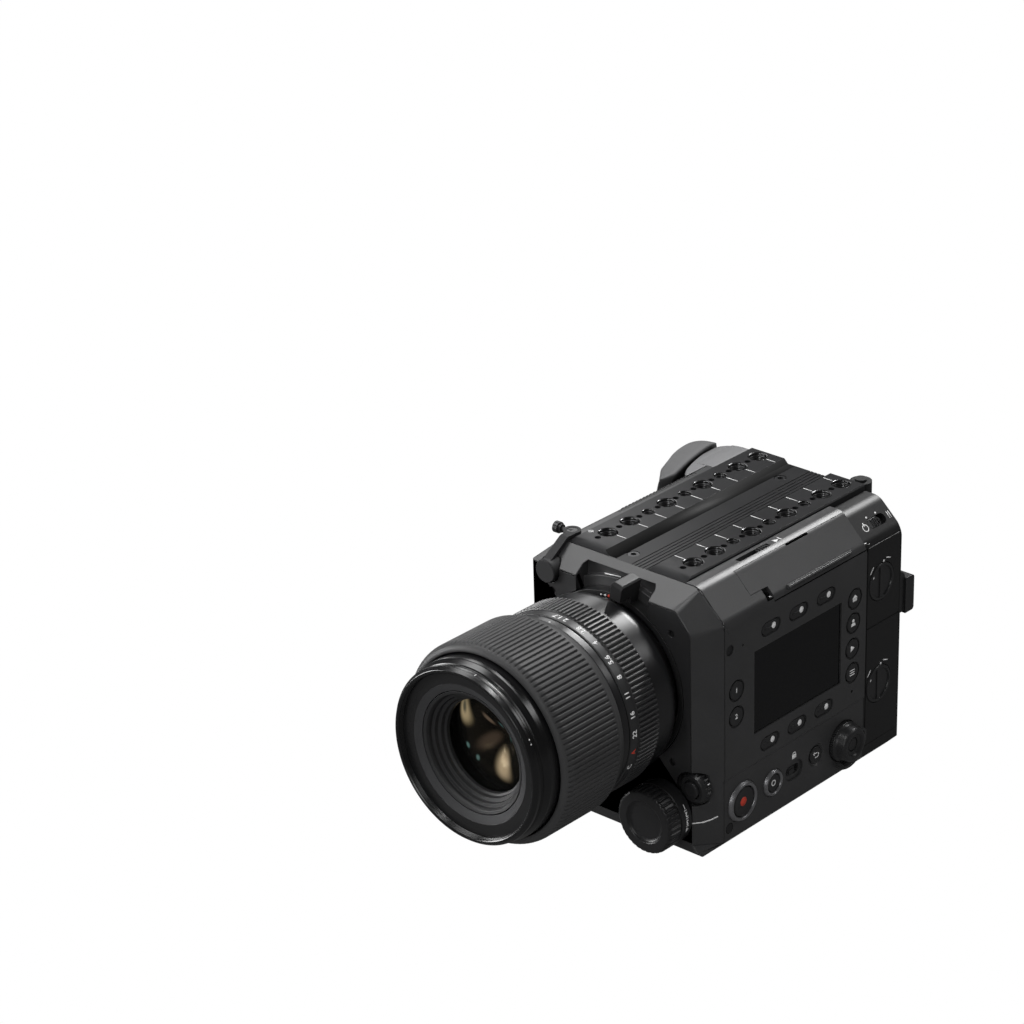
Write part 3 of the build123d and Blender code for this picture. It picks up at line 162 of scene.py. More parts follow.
# Shared effect: a fine grain, such as sprayed paint or blasted metal has, with slow cloudy changes.
# Height is the grain, Mask runs about 0.5 and carries both, for colour and roughness.
grain = bpy.data.node_groups.new("surface_grain", "ShaderNodeTree")
grain.interface.new_socket("Vector", in_out="INPUT", socket_type="NodeSocketVector")
for socket in ("Grain Scale", "Cloud Scale"):
    grain.interface.new_socket(socket, in_out="INPUT", socket_type="NodeSocketFloat")
for socket in ("Height", "Mask"):
    grain.interface.new_socket(socket, in_out="OUTPUT", socket_type="NodeSocketFloat")
g_in = grain.nodes.new("NodeGroupInput")
g_out = grain.nodes.new("NodeGroupOutput")
fine = grain.nodes.new("ShaderNodeTexNoise")
fine.inputs["Detail"].default_value = 3.0
cloud = grain.nodes.new("ShaderNodeTexNoise")
cloud.inputs["Detail"].default_value = 2.0
for node, scale in ((fine, "Grain Scale"), (cloud, "Cloud Scale")):
    grain.links.new(g_in.outputs["Vector"], node.inputs["Vector"])
    grain.links.new(g_in.outputs[scale], node.inputs["Scale"])
grain.links.new(fine.outputs["Fac"], g_out.inputs["Height"])
both = sum_of(grain, (fine.outputs["Fac"], 0.55), (cloud.outputs["Fac"], 0.45))
grain.links.new(both, g_out.inputs["Mask"])


CLOUD_MM = 30.0
paints = {}


def finish(name, colour, rough, metal=0.0, grain_mm=0.35, bump=0.10, vary=0.25, rough_vary=0.10,
           specular=0.5):
    """A material whose colour and roughness follow the grain mask and whose bump is the grain itself."""
    m = bpy.data.materials.new(name)
    m.use_nodes = True
    t = m.node_tree
    skin = t.nodes["Principled BSDF"]
    where = t.nodes.new("ShaderNodeTexCoord")
    g = t.nodes.new("ShaderNodeGroup")
    g.node_tree = grain
    g.inputs["Grain Scale"].default_value = 1000.0 / grain_mm
    g.inputs["Cloud Scale"].default_value = 1000.0 / CLOUD_MM
    t.links.new(where.outputs["Object"], g.inputs["Vector"])
    ramp = t.nodes.new("ShaderNodeMapRange")
    ramp.inputs["From Min"].default_value = 0.3
    ramp.inputs["From Max"].default_value = 0.7
    t.links.new(g.outputs["Mask"], ramp.inputs["Value"])
    mix = t.nodes.new("ShaderNodeMix")
    mix.data_type = "RGBA"
    low, high = 1.0 - vary, 1.0 + vary
    mix.inputs[6].default_value = (*[c * low for c in colour], 1)
    mix.inputs[7].default_value = (*[min(1.0, c * high) for c in colour], 1)
    t.links.new(ramp.outputs[0], mix.inputs[0])
    t.links.new(mix.outputs[2], skin.inputs["Base Color"])
    t.links.new(sum_of(t, (ramp.outputs[0], rough_vary), rough - rough_vary / 2), skin.inputs["Roughness"])
    skin.inputs["Metallic"].default_value = metal
    skin.inputs["Specular IOR Level"].default_value = specular
    if bump > 0:
        b = t.nodes.new("ShaderNodeBump")
        b.inputs["Strength"].default_value = bump
        b.inputs["Distance"].default_value = grain_mm * 0.25 * mm
        t.links.new(g.outputs["Height"], b.inputs["Height"])
        t.links.new(b.outputs[0], skin.inputs["Normal"])
    paints[name] = m
    return m


MERGE = 0.0004 * mm
COLLAPSE = 0.0002 * mm
CAD_MERGE = 0.004 * mm
FLAT = math.radians(0.6)
NEAR = 0.6 * mm


def settle(mesh):
    """Doubled points are merged, which closes seams and poles, and the faces are turned outwards."""
    work = bmesh.new()
    work.from_mesh(mesh)
    bmesh.ops.remove_doubles(work, verts=work.verts, dist=MERGE)
    bmesh.ops.dissolve_degenerate(work, edges=work.edges, dist=COLLAPSE)
    bmesh.ops.recalc_face_normals(work, faces=work.faces)
    work.to_mesh(mesh)
    work.free()


EVEN_WEIGHT = 60
BROAD_WEIGHT = 98
BROAD_WIDTH = 2.4


def shade_evenly(ob, weight):
    """Normals at shared edges lean towards the larger faces."""
    shading = ob.modifiers.new("even_shading", "WEIGHTED_NORMAL")
    shading.mode = "FACE_AREA"
    shading.weight = weight


def place_piece(name, mesh, body, slot, stands_for=(), material=None, even=True):
    """The mesh becomes a finished piece on its body, in its slot's material unless another is given.
    even: large faces decide the shading at shared edges."""
    ob = bpy.data.objects.new(name, mesh)
    bpy.context.collection.objects.link(ob)
    mesh.materials.clear()
    mesh.materials.append(material or paints[slot])
    mesh.shade_smooth()
    if even:
        shade_evenly(ob, EVEN_WEIGHT)
    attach(ob, body)
    if stands_for:
        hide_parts(*stands_for)
    return ob


def soften(node, width, slot, body="camera", material=None, turn=28.0, segments=2, lines=(), broad=()):
    """A copy of a CAD piece with doubled points merged and flat facets joined, and every edge sharper than
    the turn rounded by a live Bevel of the given width in millimetres. No facets join across the lines,
    each a direction and a place in millimetres, so that a pierced face stays in simple parts. An edge
    whose middle is one of the broad places gets the broad width first."""
    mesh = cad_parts[node].data.copy()
    work = bmesh.new()
    work.from_mesh(mesh)
    bmesh.ops.remove_doubles(work, verts=work.verts, dist=CAD_MERGE)
    for way, place in lines:
        everything = work.verts[:] + work.edges[:] + work.faces[:]
        at = [w * place * mm for w in way]
        cut = bmesh.ops.bisect_plane(work, geom=everything, dist=1e-7, plane_co=at, plane_no=way)
        for part in cut["geom_cut"]:
            if isinstance(part, bmesh.types.BMEdge):
                part.seam = True
    bmesh.ops.dissolve_limit(work, angle_limit=FLAT, verts=work.verts, edges=work.edges,
                             delimit={"SEAM"})
    weight = work.edges.layers.float.new("bevel_weight_edge")
    for edge in work.edges:
        centre = (edge.verts[0].co + edge.verts[1].co) / 2
        edge[weight] = float(any((centre - Vector(p) * mm).length < NEAR for p in broad))
    work.to_mesh(mesh)
    work.free()
    mesh.name = node + "_finished"
    ob = place_piece(node + "_finished", mesh, body, slot, (node,), material, even=False)
    if broad:
        wide = ob.modifiers.new("broad_rounding", "BEVEL")
        wide.width = BROAD_WIDTH * mm
        wide.segments = 5
        wide.limit_method = "WEIGHT"
        wide.use_clamp_overlap = False
    rounding = ob.modifiers.new("rounding", "BEVEL")
    rounding.width = width * mm
    rounding.segments = segments
    rounding.limit_method = "ANGLE"
    rounding.angle_limit = math.radians(turn)
    rounding.miter_outer = "MITER_SHARP"
    rounding.use_clamp_overlap = not broad
    shade_evenly(ob, BROAD_WEIGHT if broad else EVEN_WEIGHT)
    return ob


finish("body_paint", (0.036, 0.036, 0.037), 0.37, grain_mm=0.30, bump=0.12, specular=0.5)
finish("rear_paint", (0.010, 0.010, 0.0105), 0.42, grain_mm=0.30, bump=0.14)
soften("body_shell", 0.40, "body_paint")
soften("base_plate", 0.30, "rear_paint")

# Louvred vent on the far slope: a black moulding set into the shell over the fan. A short flat fin
# stands on each slat near the top edge.
soften("vent_grille", 0.18, "rear_paint")
FINS = 20
FIN_STEP = 2.48
fin_y = -24.4 + 1.44 + FIN_STEP * np.arange(FINS)
corners = np.array([(-37.9, 0, 126.9), (-37.9, 1.1, 126.9), (-40.6, 1.1, 124.4), (-40.6, 0, 124.4),
                    (-38.6, 0.1, 128.2), (-38.6, 1.0, 128.2), (-41.5, 1.0, 125.3), (-41.5, 0.1, 125.3)])
fins = (corners[None] + fin_y[:, None, None] * np.array([0, 1, 0])).reshape(-1, 3) * mm
sides = np.array([(0, 1, 2, 3), (4, 7, 6, 5), (0, 4, 5, 1), (1, 5, 6, 2), (2, 6, 7, 3), (3, 7, 4, 0)])
fin_faces = (sides[None] + 8 * np.arange(FINS)[:, None, None]).reshape(-1, 4)
fin_mesh = bpy.data.meshes.new("vent_fins")
fin_mesh.from_pydata(fins.tolist(), [], fin_faces.tolist())
settle(fin_mesh)
place_piece("vent_fins", fin_mesh, "camera", "rear_paint")
fin_mesh.shade_flat()

# Inside: a sensor board and an ND filter frame, fixed in the shell, and two batteries in plain plastic
# cases behind the battery doors. They show only when something is opened.
finish("board_green", (0.015, 0.07, 0.04), 0.5, grain_mm=1.2, vary=0.4)
finish("nd_black", (0.03, 0.03, 0.03), 0.4, metal=0.6)
finish("battery_plastic", (0.03, 0.03, 0.031), 0.5, grain_mm=0.5, bump=0.3)
soften("sensor_unit", 0.20, "board_green")
soften("nd_filter_unit", 0.30, "nd_black")
soften("batteries", 1.20, "battery_plastic", segments=3)

# Front frame and its recessed panel. The frame is cast and painted as the shell is; the panel is a
# black painted plate held by four screws round the lens opening.
finish("panel_paint", (0.020, 0.020, 0.021), 0.40, grain_mm=0.30, bump=0.14)
soften("front_frame", 0.45, "body_paint", segments=3,
       broad=((39.6, -71.25, 123.4), (50.6, -71.0, 111.6), (48.6, -65.45, 121.1)))
soften("front_panel", 0.22, "panel_paint")
POCKET_Y = -70.6

# Lens mount: a bare steel flange, and a black anodised lock ring that turns on it by a stubby lever.
finish("mount_steel", (0.45, 0.45, 0.46), 0.28, metal=1.0, grain_mm=0.2, bump=0.05)
finish("lens_black", (0.012, 0.012, 0.013), 0.29, grain_mm=0.22, bump=0.05, specular=0.6,
       rough_vary=0.04)
lever_black = finish("lever_black", (0.016, 0.016, 0.0165), 0.34, grain_mm=0.25, bump=0.10)
soften("lens_mount", 0.30, "mount_steel")
soften("mount_lock_ring", 0.60, "lens_black", body="mount_lock_ring", material=lever_black, segments=3)


# Lens barrel. Black anodised tube, turned on a lathe: a flared foot at the flange, the rear barrel, and
# the index ring between the aperture ring and the focus ring.
def facing_front(x, z, y=0.0):
    """A place on a front face: across to +X, up to +Z, out to -Y, all in millimetres."""
    return np.array([[x, y, z], [1, 0, 0], [0, 0, 1], [0, -1, 0]], float)


def facing_side(y, z, x=0.0):
    """A place on the control side: across to +Y, up to +Z, out to +X."""
    return np.array([[x, y, z], [0, 1, 0], [0, 0, 1], [1, 0, 0]], float)


def facing_up(x, y, z=0.0):
    """A place on the top: across to +X, up to +Y, out to +Z."""
    return np.array([[x, y, z], [1, 0, 0], [0, 1, 0], [0, 0, 1]], float)


def flat_on(place):
    """Maps (across, up, out) millimetres on a place to points in metres."""
    def spread(p):
        return (place[0] + p @ place[1:]) * mm
    return spread


def rounded(points, cut, steps=4):
    """Each corner of a closed outline becomes a quadratic curve that starts and ends cut millimetres from
    it, or 0.45 of its shorter side. A corner on the axis, at radius 0, stays sharp."""
    p = np.array(points, float)
    before = np.roll(p, 1, 0) - p
    after = np.roll(p, -1, 0) - p
    la = np.linalg.norm(before, axis=1, keepdims=True)
    lb = np.linalg.norm(after, axis=1, keepdims=True)
    reach = np.minimum(cut, 0.45 * np.minimum(la, lb)) * (p[:, :1] > 1e-6)
    start = (p + before / la * reach)[:, None]
    end = (p + after / lb * reach)[:, None]
    t = np.linspace(0.0, 1.0, steps)[None, :, None]
    return ((1 - t) ** 2 * start + 2 * t * (1 - t) * p[:, None] + t ** 2 * end).reshape(-1, 2)


def grid_faces(rows, cols):
    """Quads of a grid that closes on itself both ways."""
    r = np.arange(rows)[:, None]
    c = np.arange(cols)[None, :]
    r2 = (r + 1) % rows
    c2 = (c + 1) % cols
    corners = (r * cols + c, r * cols + c2, r2 * cols + c2, r2 * cols + c)
    return np.stack(np.broadcast_arrays(*corners), -1).reshape(-1, 4)


def turned(outline, place, count=160, relief=None, core=0.0):
    """A closed outline of (radius, out) swept round the place's out direction. The angle runs from up
    towards across. relief(angle, out, radius) is added to the radius. core pulls the two halves apart along
    across, which gives a shape with straight sides and round ends."""
    r = outline[:, 0][:, None]
    h = outline[:, 1][:, None]
    a = np.linspace(0.0, 2 * math.pi, count, endpoint=False)[None, :]
    radius = r + (relief(a, h, r) if relief else 0.0)
    side = core * np.sign(np.round(np.sin(a), 9))
    local = np.stack(np.broadcast_arrays(radius * np.sin(a) + side, radius * np.cos(a), h), -1).reshape(-1, 3)
    return flat_on(place)(local), grid_faces(len(outline), count)


def build(name, shape, body, slot, stands_for=(), material=None, even=True):
    """Points and faces become a mesh, merged and closed, and a finished piece."""
    mesh = bpy.data.meshes.new(name)
    points, faces = shape
    mesh.from_pydata(points.tolist(), [], faces.tolist() if isinstance(faces, np.ndarray) else faces)
    settle(mesh)
    return place_piece(name, mesh, body, slot, stands_for, material, even)


LENS = facing_front(0, LENS_Z, FLANGE_Y)
BARREL_R = 43.0
BAND_R = BARREL_R + 0.8
TUBE_R = 38.0
SEAT_R = 40.0
RUN = 0.08
BORE_R = 27.0
APERTURE = (22.6, 41.5)
FOCUS = (47.2, 86.2)
NECK = 84.0
a0, a1 = APERTURE
f0, f1 = FOCUS
barrel = rounded([
    (BORE_R, -4.5), (31.0, -4.5), (31.0, 0.0), (35.5, 0.0), (BARREL_R - 5.7, 2.8), (BARREL_R - 3.8, 5.6),
    (BARREL_R - 1.4, 8.6), (BARREL_R - 0.3, 10.6), (BARREL_R, 12.6), (BARREL_R, a0 - 0.3),
    (TUBE_R, a0 - 0.3), (TUBE_R, a1 + 0.3), (BAND_R - 0.5, a1 + 0.3), (BAND_R, a1 + 0.9),
    (BAND_R, f0 - 1.0), (BAND_R - 0.6, f0 - 0.3),
    (SEAT_R, f0 - 0.3), (SEAT_R, NECK), (BORE_R, NECK)], 0.9, 5)
build("lens_barrel_turned", turned(barrel, LENS, 220), "camera", "lens_black", ("lens_barrel",))


# Aperture ring. Black anodised aluminium with straight ribs cut into its rear half and a smooth band in
# front that carries the stops as plain white numbers; it turns on the barrel's tube.
def steps_between(count, share, soft):
    """A wave round the ring that is 1 on a rib and 0 in a groove: ribs fill the share, with soft flanks."""
    def wave(a):
        t = np.mod(a * count / (2 * math.pi), 1.0)
        edge = (share / 2 - np.abs(t - 0.5)) / soft
        s = np.clip(edge + 0.5, 0.0, 1.0)
        return s * s * (3 - 2 * s)
    return wave


def window(low, high, soft):
    """1 between two places along the axis, falling softly to 0 outside them."""
    def fall(h):
        s = np.clip(np.minimum(h - low, high - h) / soft, 0.0, 1.0)
        return s * s * (3 - 2 * s)
    return fall


def ribs(count, share, soft, low, high, ends, depth, crest):
    """Grooves cut by the depth between the ribs, from low to high, running out softly over ends. Only
    what lies near the crest radius is cut."""
    wave = steps_between(count, share, soft)
    fall = window(low, high, ends)

    def relief(a, h, r):
        return -depth * (1 - wave(a)) * fall(h) * np.clip((r - crest) / depth + 2.0, 0.0, 1.0)
    return relief


def with_rows(points, rows_at, radius):
    """Extra points on the outline's outer line, at the given places, so that grooves can run out there."""
    out = []
    for p, q in zip(points, list(points[1:]) + [points[0]]):
        out.append(p)
        if abs(p[0] - radius) < 1e-6 and abs(q[0] - radius) < 1e-6:
            low, high = min(p[1], q[1]), max(p[1], q[1])
            inside = [h for h in rows_at if low + 1e-6 < h < high - 1e-6]
            out += [(radius, h) for h in (inside if q[1] > p[1] else inside[::-1])]
    return out


def outline_with_ribs(points, cut, radius, low, high, ends):
    """A rounded outline with three rows at each end of the ribs."""
    base = [tuple(p) for p in rounded(points, cut, 4)]
    shares = np.array([0, 0.35, 0.7, 1])
    marks = [float(h) for h in [*(low + ends * shares), *(high - ends * shares[::-1])]]
    return np.array(with_rows(base, marks, radius))


finish("ring_black", (0.024, 0.024, 0.025), 0.34, grain_mm=0.22, bump=0.06, specular=0.55,
       rough_vary=0.05)
APERTURE_RIBS = 116
RIB_A = (a0 + 0.7, a0 + 12.9)
rib_top = BAND_R + 0.9
ring = outline_with_ribs([
    (TUBE_R + RUN, a0), (BAND_R - 0.8, a0), (BAND_R - 0.4, RIB_A[0] - 0.5), (rib_top - 0.15, RIB_A[0] - 0.4),
    (rib_top, RIB_A[0] - 0.2), (rib_top, RIB_A[1] + 0.2), (rib_top - 0.2, RIB_A[1] + 0.4),
    (BAND_R, RIB_A[1] + 0.6),
    (BAND_R, a1 - 0.4), (BAND_R - 0.4, a1), (TUBE_R + RUN, a1)], 0.25, rib_top, RIB_A[0], RIB_A[1], 0.35)
cuts = ribs(APERTURE_RIBS, 0.62, 0.14, RIB_A[0] - 0.6, RIB_A[1] + 0.5, 0.4, 1.15, rib_top)
build("aperture_ring_ribbed", turned(ring, LENS, APERTURE_RIBS * 10, cuts), "aperture_ring", "ring_black",
      ("aperture_ring",))


def closed(points, faces):
    """Points and faces as one shape."""
    return np.array(points, float), faces


def plate(outline, low=-INK / 2, high=INK):
    """A flat mark: an outline of (across, up) pushed from low to high."""
    p = np.array(outline, float)
    n = len(p)
    points = np.vstack([np.c_[p, np.full(n, low)], np.c_[p, np.full(n, high)]])
    i = np.arange(n)
    j = (i + 1) % n
    walls = np.stack([i, j, j + n, i + n], -1).tolist()
    return closed(points, [list(range(n))[::-1], list(range(n, 2 * n))] + walls)


def stroke(path, width, loop=False):
    """A line of even width along a path, mitred at its corners: four edges swept along it."""
    p = np.array(path, float)
    ahead = np.roll(p, -1, 0) - p
    if not loop:
        ahead[-1] = ahead[-2]
    ahead /= np.linalg.norm(ahead, axis=1, keepdims=True)
    back = np.roll(ahead, 1, 0)
    if not loop:
        back[0] = ahead[0]
    normal = np.c_[-(ahead + back)[:, 1], (ahead + back)[:, 0]]
    normal /= np.linalg.norm(normal, axis=1, keepdims=True)
    side = np.c_[-ahead[:, 1], ahead[:, 0]]
    off = normal * (width / 2 / np.maximum(0.5, np.sum(normal * side, axis=1)))[:, None]
    n = len(p)
    edges = ((1, -INK / 2), (-1, -INK / 2), (-1, INK), (1, INK))
    rims = [np.c_[p + s * off, np.full(n, h)] for s, h in edges]
    points = np.stack(rims, 1).reshape(-1, 3)
    faces = grid_faces(n, 4)
    if not loop:
        last = (n - 1) * 4
        faces = faces[faces.min(axis=1) // 4 == faces.max(axis=1) // 4 - 1] if n > 2 else faces[:4]
        return closed(points, faces.tolist() + [[0, 1, 2, 3], [last + 3, last + 2, last + 1, last]])
    return closed(points, faces.tolist())


def dot(x, y, across, up=None, count=28):
    """A round or oval mark."""
    a = np.linspace(0, 2 * math.pi, count, endpoint=False)
    return plate(np.c_[x + across * np.cos(a), y + (up or across) * np.sin(a)])


def circle(x, y, r, width, start=0.0, end=360.0, count=40):
    """A ring, or an arc of one, as a stroke."""
    whole = abs(end - start) >= 360
    a = np.radians(np.linspace(start, end, count, endpoint=not whole))
    return stroke(np.c_[x + r * np.cos(a), y + r * np.sin(a)], width, loop=whole)


def words(text, size, x=0.0, y=0.0, turn=0.0, weight=0.02):
    """Plain lettering, centred on (x, y): a text curve made a mesh before it is placed."""
    curve = bpy.data.curves.new("lettering", "FONT")
    curve.body = text
    curve.size = size
    curve.offset = weight * size
    curve.extrude = INK * 0.75
    curve.align_x = "CENTER"
    curve.align_y = "CENTER"
    holder = bpy.data.objects.new("lettering", curve)
    mesh = bpy.data.meshes.new_from_object(holder)
    p = np.array([v.co for v in mesh.vertices], float)
    faces = [list(f.vertices) for f in mesh.polygons]
    bpy.data.objects.remove(holder)
    bpy.data.curves.remove(curve)
    bpy.data.meshes.remove(mesh)
    c, s = math.cos(turn), math.sin(turn)
    flat = p[:, :2] @ np.array([[c, s], [-s, c]])
    return closed(np.c_[flat + (x, y), p[:, 2] + INK / 4], faces)


white_ink = finish("white_ink", (0.82, 0.82, 0.82), 0.5, grain_mm=0.4, bump=0.0, vary=0.05)
red_ink = finish("red_ink", (0.62, 0.045, 0.02), 0.5, grain_mm=0.4, bump=0.0, vary=0.08)


def ink(name, shapes, spread, body="camera", material=white_ink):
    """Flat marks, gathered into one piece and spread on a surface."""
    points, faces, at = [], [], 0
    for p, f in shapes:
        points.append(p)
        faces += [[i + at for i in face] for face in f]
        at += len(p)
    return build(name, (spread(np.vstack(points)), faces), body, None, material=material, even=False)


def round_drum(place, radius, out, angle=0.0, reading=-1):
    """Maps flat marks on a drum round the place: across runs round it, up runs out along its axis.
    reading is -1 where the tops of the letters point out, away from the camera."""
    def spread(p):
        a = math.radians(angle) + reading * p[:, 0] / radius
        r = radius + p[:, 2]
        return flat_on(place)(np.c_[r * np.sin(a), r * np.cos(a), out - reading * p[:, 1]])
    return spread


def on_drum(shape, radius, angle):
    """Moves flat marks round a drum by an angle in degrees."""
    p = shape[0].copy()
    p[:, 0] -= math.radians(angle) * radius
    return p, shape[1]


STOPS = {"1.7": 1.0, "2": 6.8, "2.8": 18.8, "4": 30.4, "5.6": 43.0, "8": 54.3, "11": 65.7, "16": 77.8,
         "22": 89.6}
STOP_U = a1 - 2.9
LETTER = 3.7
stop_marks = [on_drum(words(text, LETTER, weight=0.025), BAND_R, angle) for text, angle in STOPS.items()]
stop_marks.append(on_drum(words("C", LETTER), BAND_R, 112.8))
ink("aperture_numbers", stop_marks, round_drum(LENS, BAND_R, STOP_U), "aperture_ring")
auto_mark = on_drum(words("A", LETTER, weight=0.03), BAND_R, 101.7)
ink("aperture_auto_mark", [auto_mark], round_drum(LENS, BAND_R, STOP_U), "aperture_ring", red_ink)
ink("pocket_line", [stroke([(-8.1, 122.2), (1.3, 123.2)], 0.5)], flat_on(facing_front(0, 0, POCKET_Y)))
ring_face = facing_front(0, 0, -76.4)
ink("lock_ring_dots", [dot(-3.0, 115.1, 0.6), dot(-5.4, 114.8, 0.5)], flat_on(ring_face), "mount_lock_ring")
ink("lock_ring_red_dot", [dot(-0.8, 115.3, 0.75)], flat_on(ring_face), "mount_lock_ring", red_ink)
ink("index_dot", [on_drum(dot(0, 0, 0.45), BAND_R, 2.0)], round_drum(LENS, BAND_R, f0 - 2.2))

# Focus ring. Wide matt ring with long parallel grooves, rounded off towards the front; it turns without
# stops on the barrel.
focus_black = finish("focus_black", (0.044, 0.044, 0.045), 0.52, grain_mm=0.25, bump=0.16, specular=0.4)
FOCUS_RIBS = 116
LENS_R = 47.35
f1 += 0.6
RIB_F = (f0 + 5.4, f1 - 1.6)
SLEEVE_R = LENS_R - 4.95
ring = outline_with_ribs([
    (SEAT_R + RUN, f0), (LENS_R - 2.4, f0), (LENS_R - 1.1, f0 + 1.9), (LENS_R - 0.35, f0 + 4.2),
    (LENS_R, RIB_F[0] - 0.4), (LENS_R, f1 - 3.9), (LENS_R - 0.3, f1 - 2.6), (LENS_R - 1.3, f1 - 0.9),
    (LENS_R - 3.0, f1), (SLEEVE_R + 0.8, f1), (SLEEVE_R + 0.8, f1 - 7.2), (SEAT_R + RUN, f1 - 7.2)],
    1.0, LENS_R, RIB_F[0], f1 - 3.9, 0.9)
cuts = ribs(FOCUS_RIBS, 0.70, 0.14, RIB_F[0] - 0.1, RIB_F[1], 0.9, 0.75, LENS_R - 0.5)
build("focus_ring_ribbed", turned(ring, LENS, FOCUS_RIBS * 10, cuts), "focus_ring", "ring_black",
      ("focus_ring",), focus_black)

# Front barrel with the name ring left bare, the rim and the filter thread. Glossy black anodised, with a
# matt cone behind the thread that keeps stray light out.
finish("rim_black", (0.006, 0.006, 0.0065), 0.24, grain_mm=0.2, bump=0.015, specular=0.7,
       rough_vary=0.02)
cone_black = finish("cone_black", (0.040, 0.040, 0.042), 0.62, grain_mm=0.3, bump=0.10, specular=0.3)
FILTER_R = LENS_R - 8.85
RIM_R = 41.5
BAFFLE_R = 28.4
e = 100.4
cup = rounded([
    (BAFFLE_R, NECK), (42.6, NECK), (42.6, e - 8.4), (41.3, e - 5.8), (40.6, e - 5.5), (40.6, e - 4.1),
    (41.2, e - 3.9), (RIM_R, e - 3.4), (RIM_R, e - 1.7), (40.1, e), (FILTER_R + 0.7, e),
    (FILTER_R, e - 0.6), (FILTER_R, e - 3.5), (FILTER_R - 0.9, e - 3.9)], 0.3, 5)
thread_low, thread_high, pitch = e - 3.3, e - 0.9, 0.75
keep = ~((np.abs(cup[:, 0] - FILTER_R) < 0.02) & (cup[:, 1] < thread_high) & (cup[:, 1] > thread_low))
cup = cup[keep]
below = (np.abs(cup[:, 0] - FILTER_R) < 0.6) & (cup[:, 1] < thread_high) & (cup[:, 1] > e - 5)
at = np.argmax(below) or len(cup)
turns = np.linspace(thread_high, thread_low, 17)
thread = np.c_[FILTER_R + 0.22 * np.sin((turns - thread_low) / pitch * 2 * math.pi), turns]
cup = np.vstack([cup[:at], thread, cup[at:]])
build("front_barrel_turned", turned(cup, LENS, 240), "camera", "rim_black", ("front_barrel",))
ledge = rounded([(FILTER_R - 0.15, e - 3.3), (FILTER_R - 0.15, e - 4.2), (32.6, e - 4.4),
                 (32.6, e - 3.55)], 0.15)
ledge_black = finish("ledge_black", (0.012, 0.012, 0.0125), 0.30, grain_mm=0.25, bump=0.05,
                     specular=0.6)
build("front_ledge", turned(ledge, LENS, 200), "camera", "rim_black", material=ledge_black)
cone = rounded([(32.58, e - 3.6), (32.58, e - 4.4), (28.9, e - 6.2), (28.9, e - 5.1)], 0.12)
build("front_cone", turned(cone, LENS, 200), "camera", "rim_black", material=cone_black)
rim_marks = [on_drum(stroke([(0, -0.7), (0, 0.7)], 0.3), RIM_R, 9.0)]
rim_marks += [on_drum(dot(0, 0, 0.35), RIM_R, angle) for angle in (61.0, 64.0)]
ink("rim_marks", rim_marks, round_drum(LENS, RIM_R, e - 2.5))

# Stepped inner baffle and the glass. The baffle is a matt black moulding; the elements are ground and
# multi-coated. The soft amber and a little green light from inside are painted reflections on the inner
# glass.
baffle_black = finish("baffle_black", (0.022, 0.022, 0.023), 0.50, grain_mm=0.25, bump=0.08)
stairs = np.array([
    (28.5, e - 5.2), (27.1, e - 5.7), (26.5, e - 6.9), (26.4, e - 8.3), (25.0, e - 8.7), (24.7, e - 10.4),
    (23.3, e - 10.9), (23.0, e - 12.7), (22.0, e - 13.2), (21.8, e - 15.0), (28.5, e - 15.0)])
build("stepped_baffle", turned(rounded(stairs, 0.2, 4), LENS, 180), "camera", "rim_black",
      ("inner_baffle",), baffle_black)


def lens_glass(name, tint, coat_colour):
    """Clear glass with a faint tint to what it reflects, as an anti-reflection coating leaves."""
    m = bpy.data.materials.new(name)
    m.use_nodes = True
    t = m.node_tree
    skin = t.nodes["Principled BSDF"]
    skin.inputs["Base Color"].default_value = (*tint, 1)
    skin.inputs["Roughness"].default_value = 0.02
    skin.inputs["IOR"].default_value = 1.14
    skin.inputs["Transmission Weight"].default_value = 1.0
    skin.inputs["Specular Tint"].default_value = (*coat_colour, 1)
    paints[name] = m


def element(edge_r, edge_u, sag, back_u, back_sag=0.0, steps=22):
    """A ground element: its front is a cap of a sphere with the given rise, its back one sunk by back_sag."""
    r = np.linspace(edge_r, 0.0, steps)
    front = np.c_[r, edge_u + sag * (1 - (r / edge_r) ** 2)]
    back = np.c_[r[::-1], back_u + back_sag * (1 - (r[::-1] / edge_r) ** 2)]
    return np.vstack([front, back])


lens_glass("coated_glass", (0.95, 0.96, 0.94), (1.0, 0.78, 0.48))
GLASS_R = 25.2
build("front_glass", turned(element(GLASS_R, NECK + 0.2, 3.6, 81.8, 3.4), LENS, 160), "camera",
      "coated_glass", ("front_element",), even=False)

# Shared effect: the mask of one soft spot of painted reflection on the inner glass, 1 at its centre and 0
# past its half sizes. Turn is the spot's turn about the three axes.
spot = bpy.data.node_groups.new("painted_reflection_spot", "ShaderNodeTree")
for socket in ("Vector", "Centre", "Half Size", "Turn"):
    spot.interface.new_socket(socket, in_out="INPUT", socket_type="NodeSocketVector")
spot.interface.new_socket("Mask", in_out="OUTPUT", socket_type="NodeSocketFloat")
s_in = spot.nodes.new("NodeGroupInput")
s_out = spot.nodes.new("NodeGroupOutput")
moved = spot.nodes.new("ShaderNodeMapping")
moved.vector_type = "TEXTURE"
wires = {"Vector": "Vector", "Centre": "Location", "Turn": "Rotation", "Half Size": "Scale"}
for source, target in wires.items():
    spot.links.new(s_in.outputs[source], moved.inputs[target])
away = spot.nodes.new("ShaderNodeVectorMath")
away.operation = "LENGTH"
spot.links.new(moved.outputs[0], away.inputs[0])
fade = spot.nodes.new("ShaderNodeMapRange")
fade.interpolation_type = "SMOOTHERSTEP"
for socket, value in (("From Min", 0.15), ("From Max", 1.0), ("To Min", 1.0), ("To Max", 0.0)):
    fade.inputs[socket].default_value = value
spot.links.new(away.outputs["Value"], fade.inputs["Value"])
spot.links.new(fade.outputs[0], s_out.inputs["Mask"])
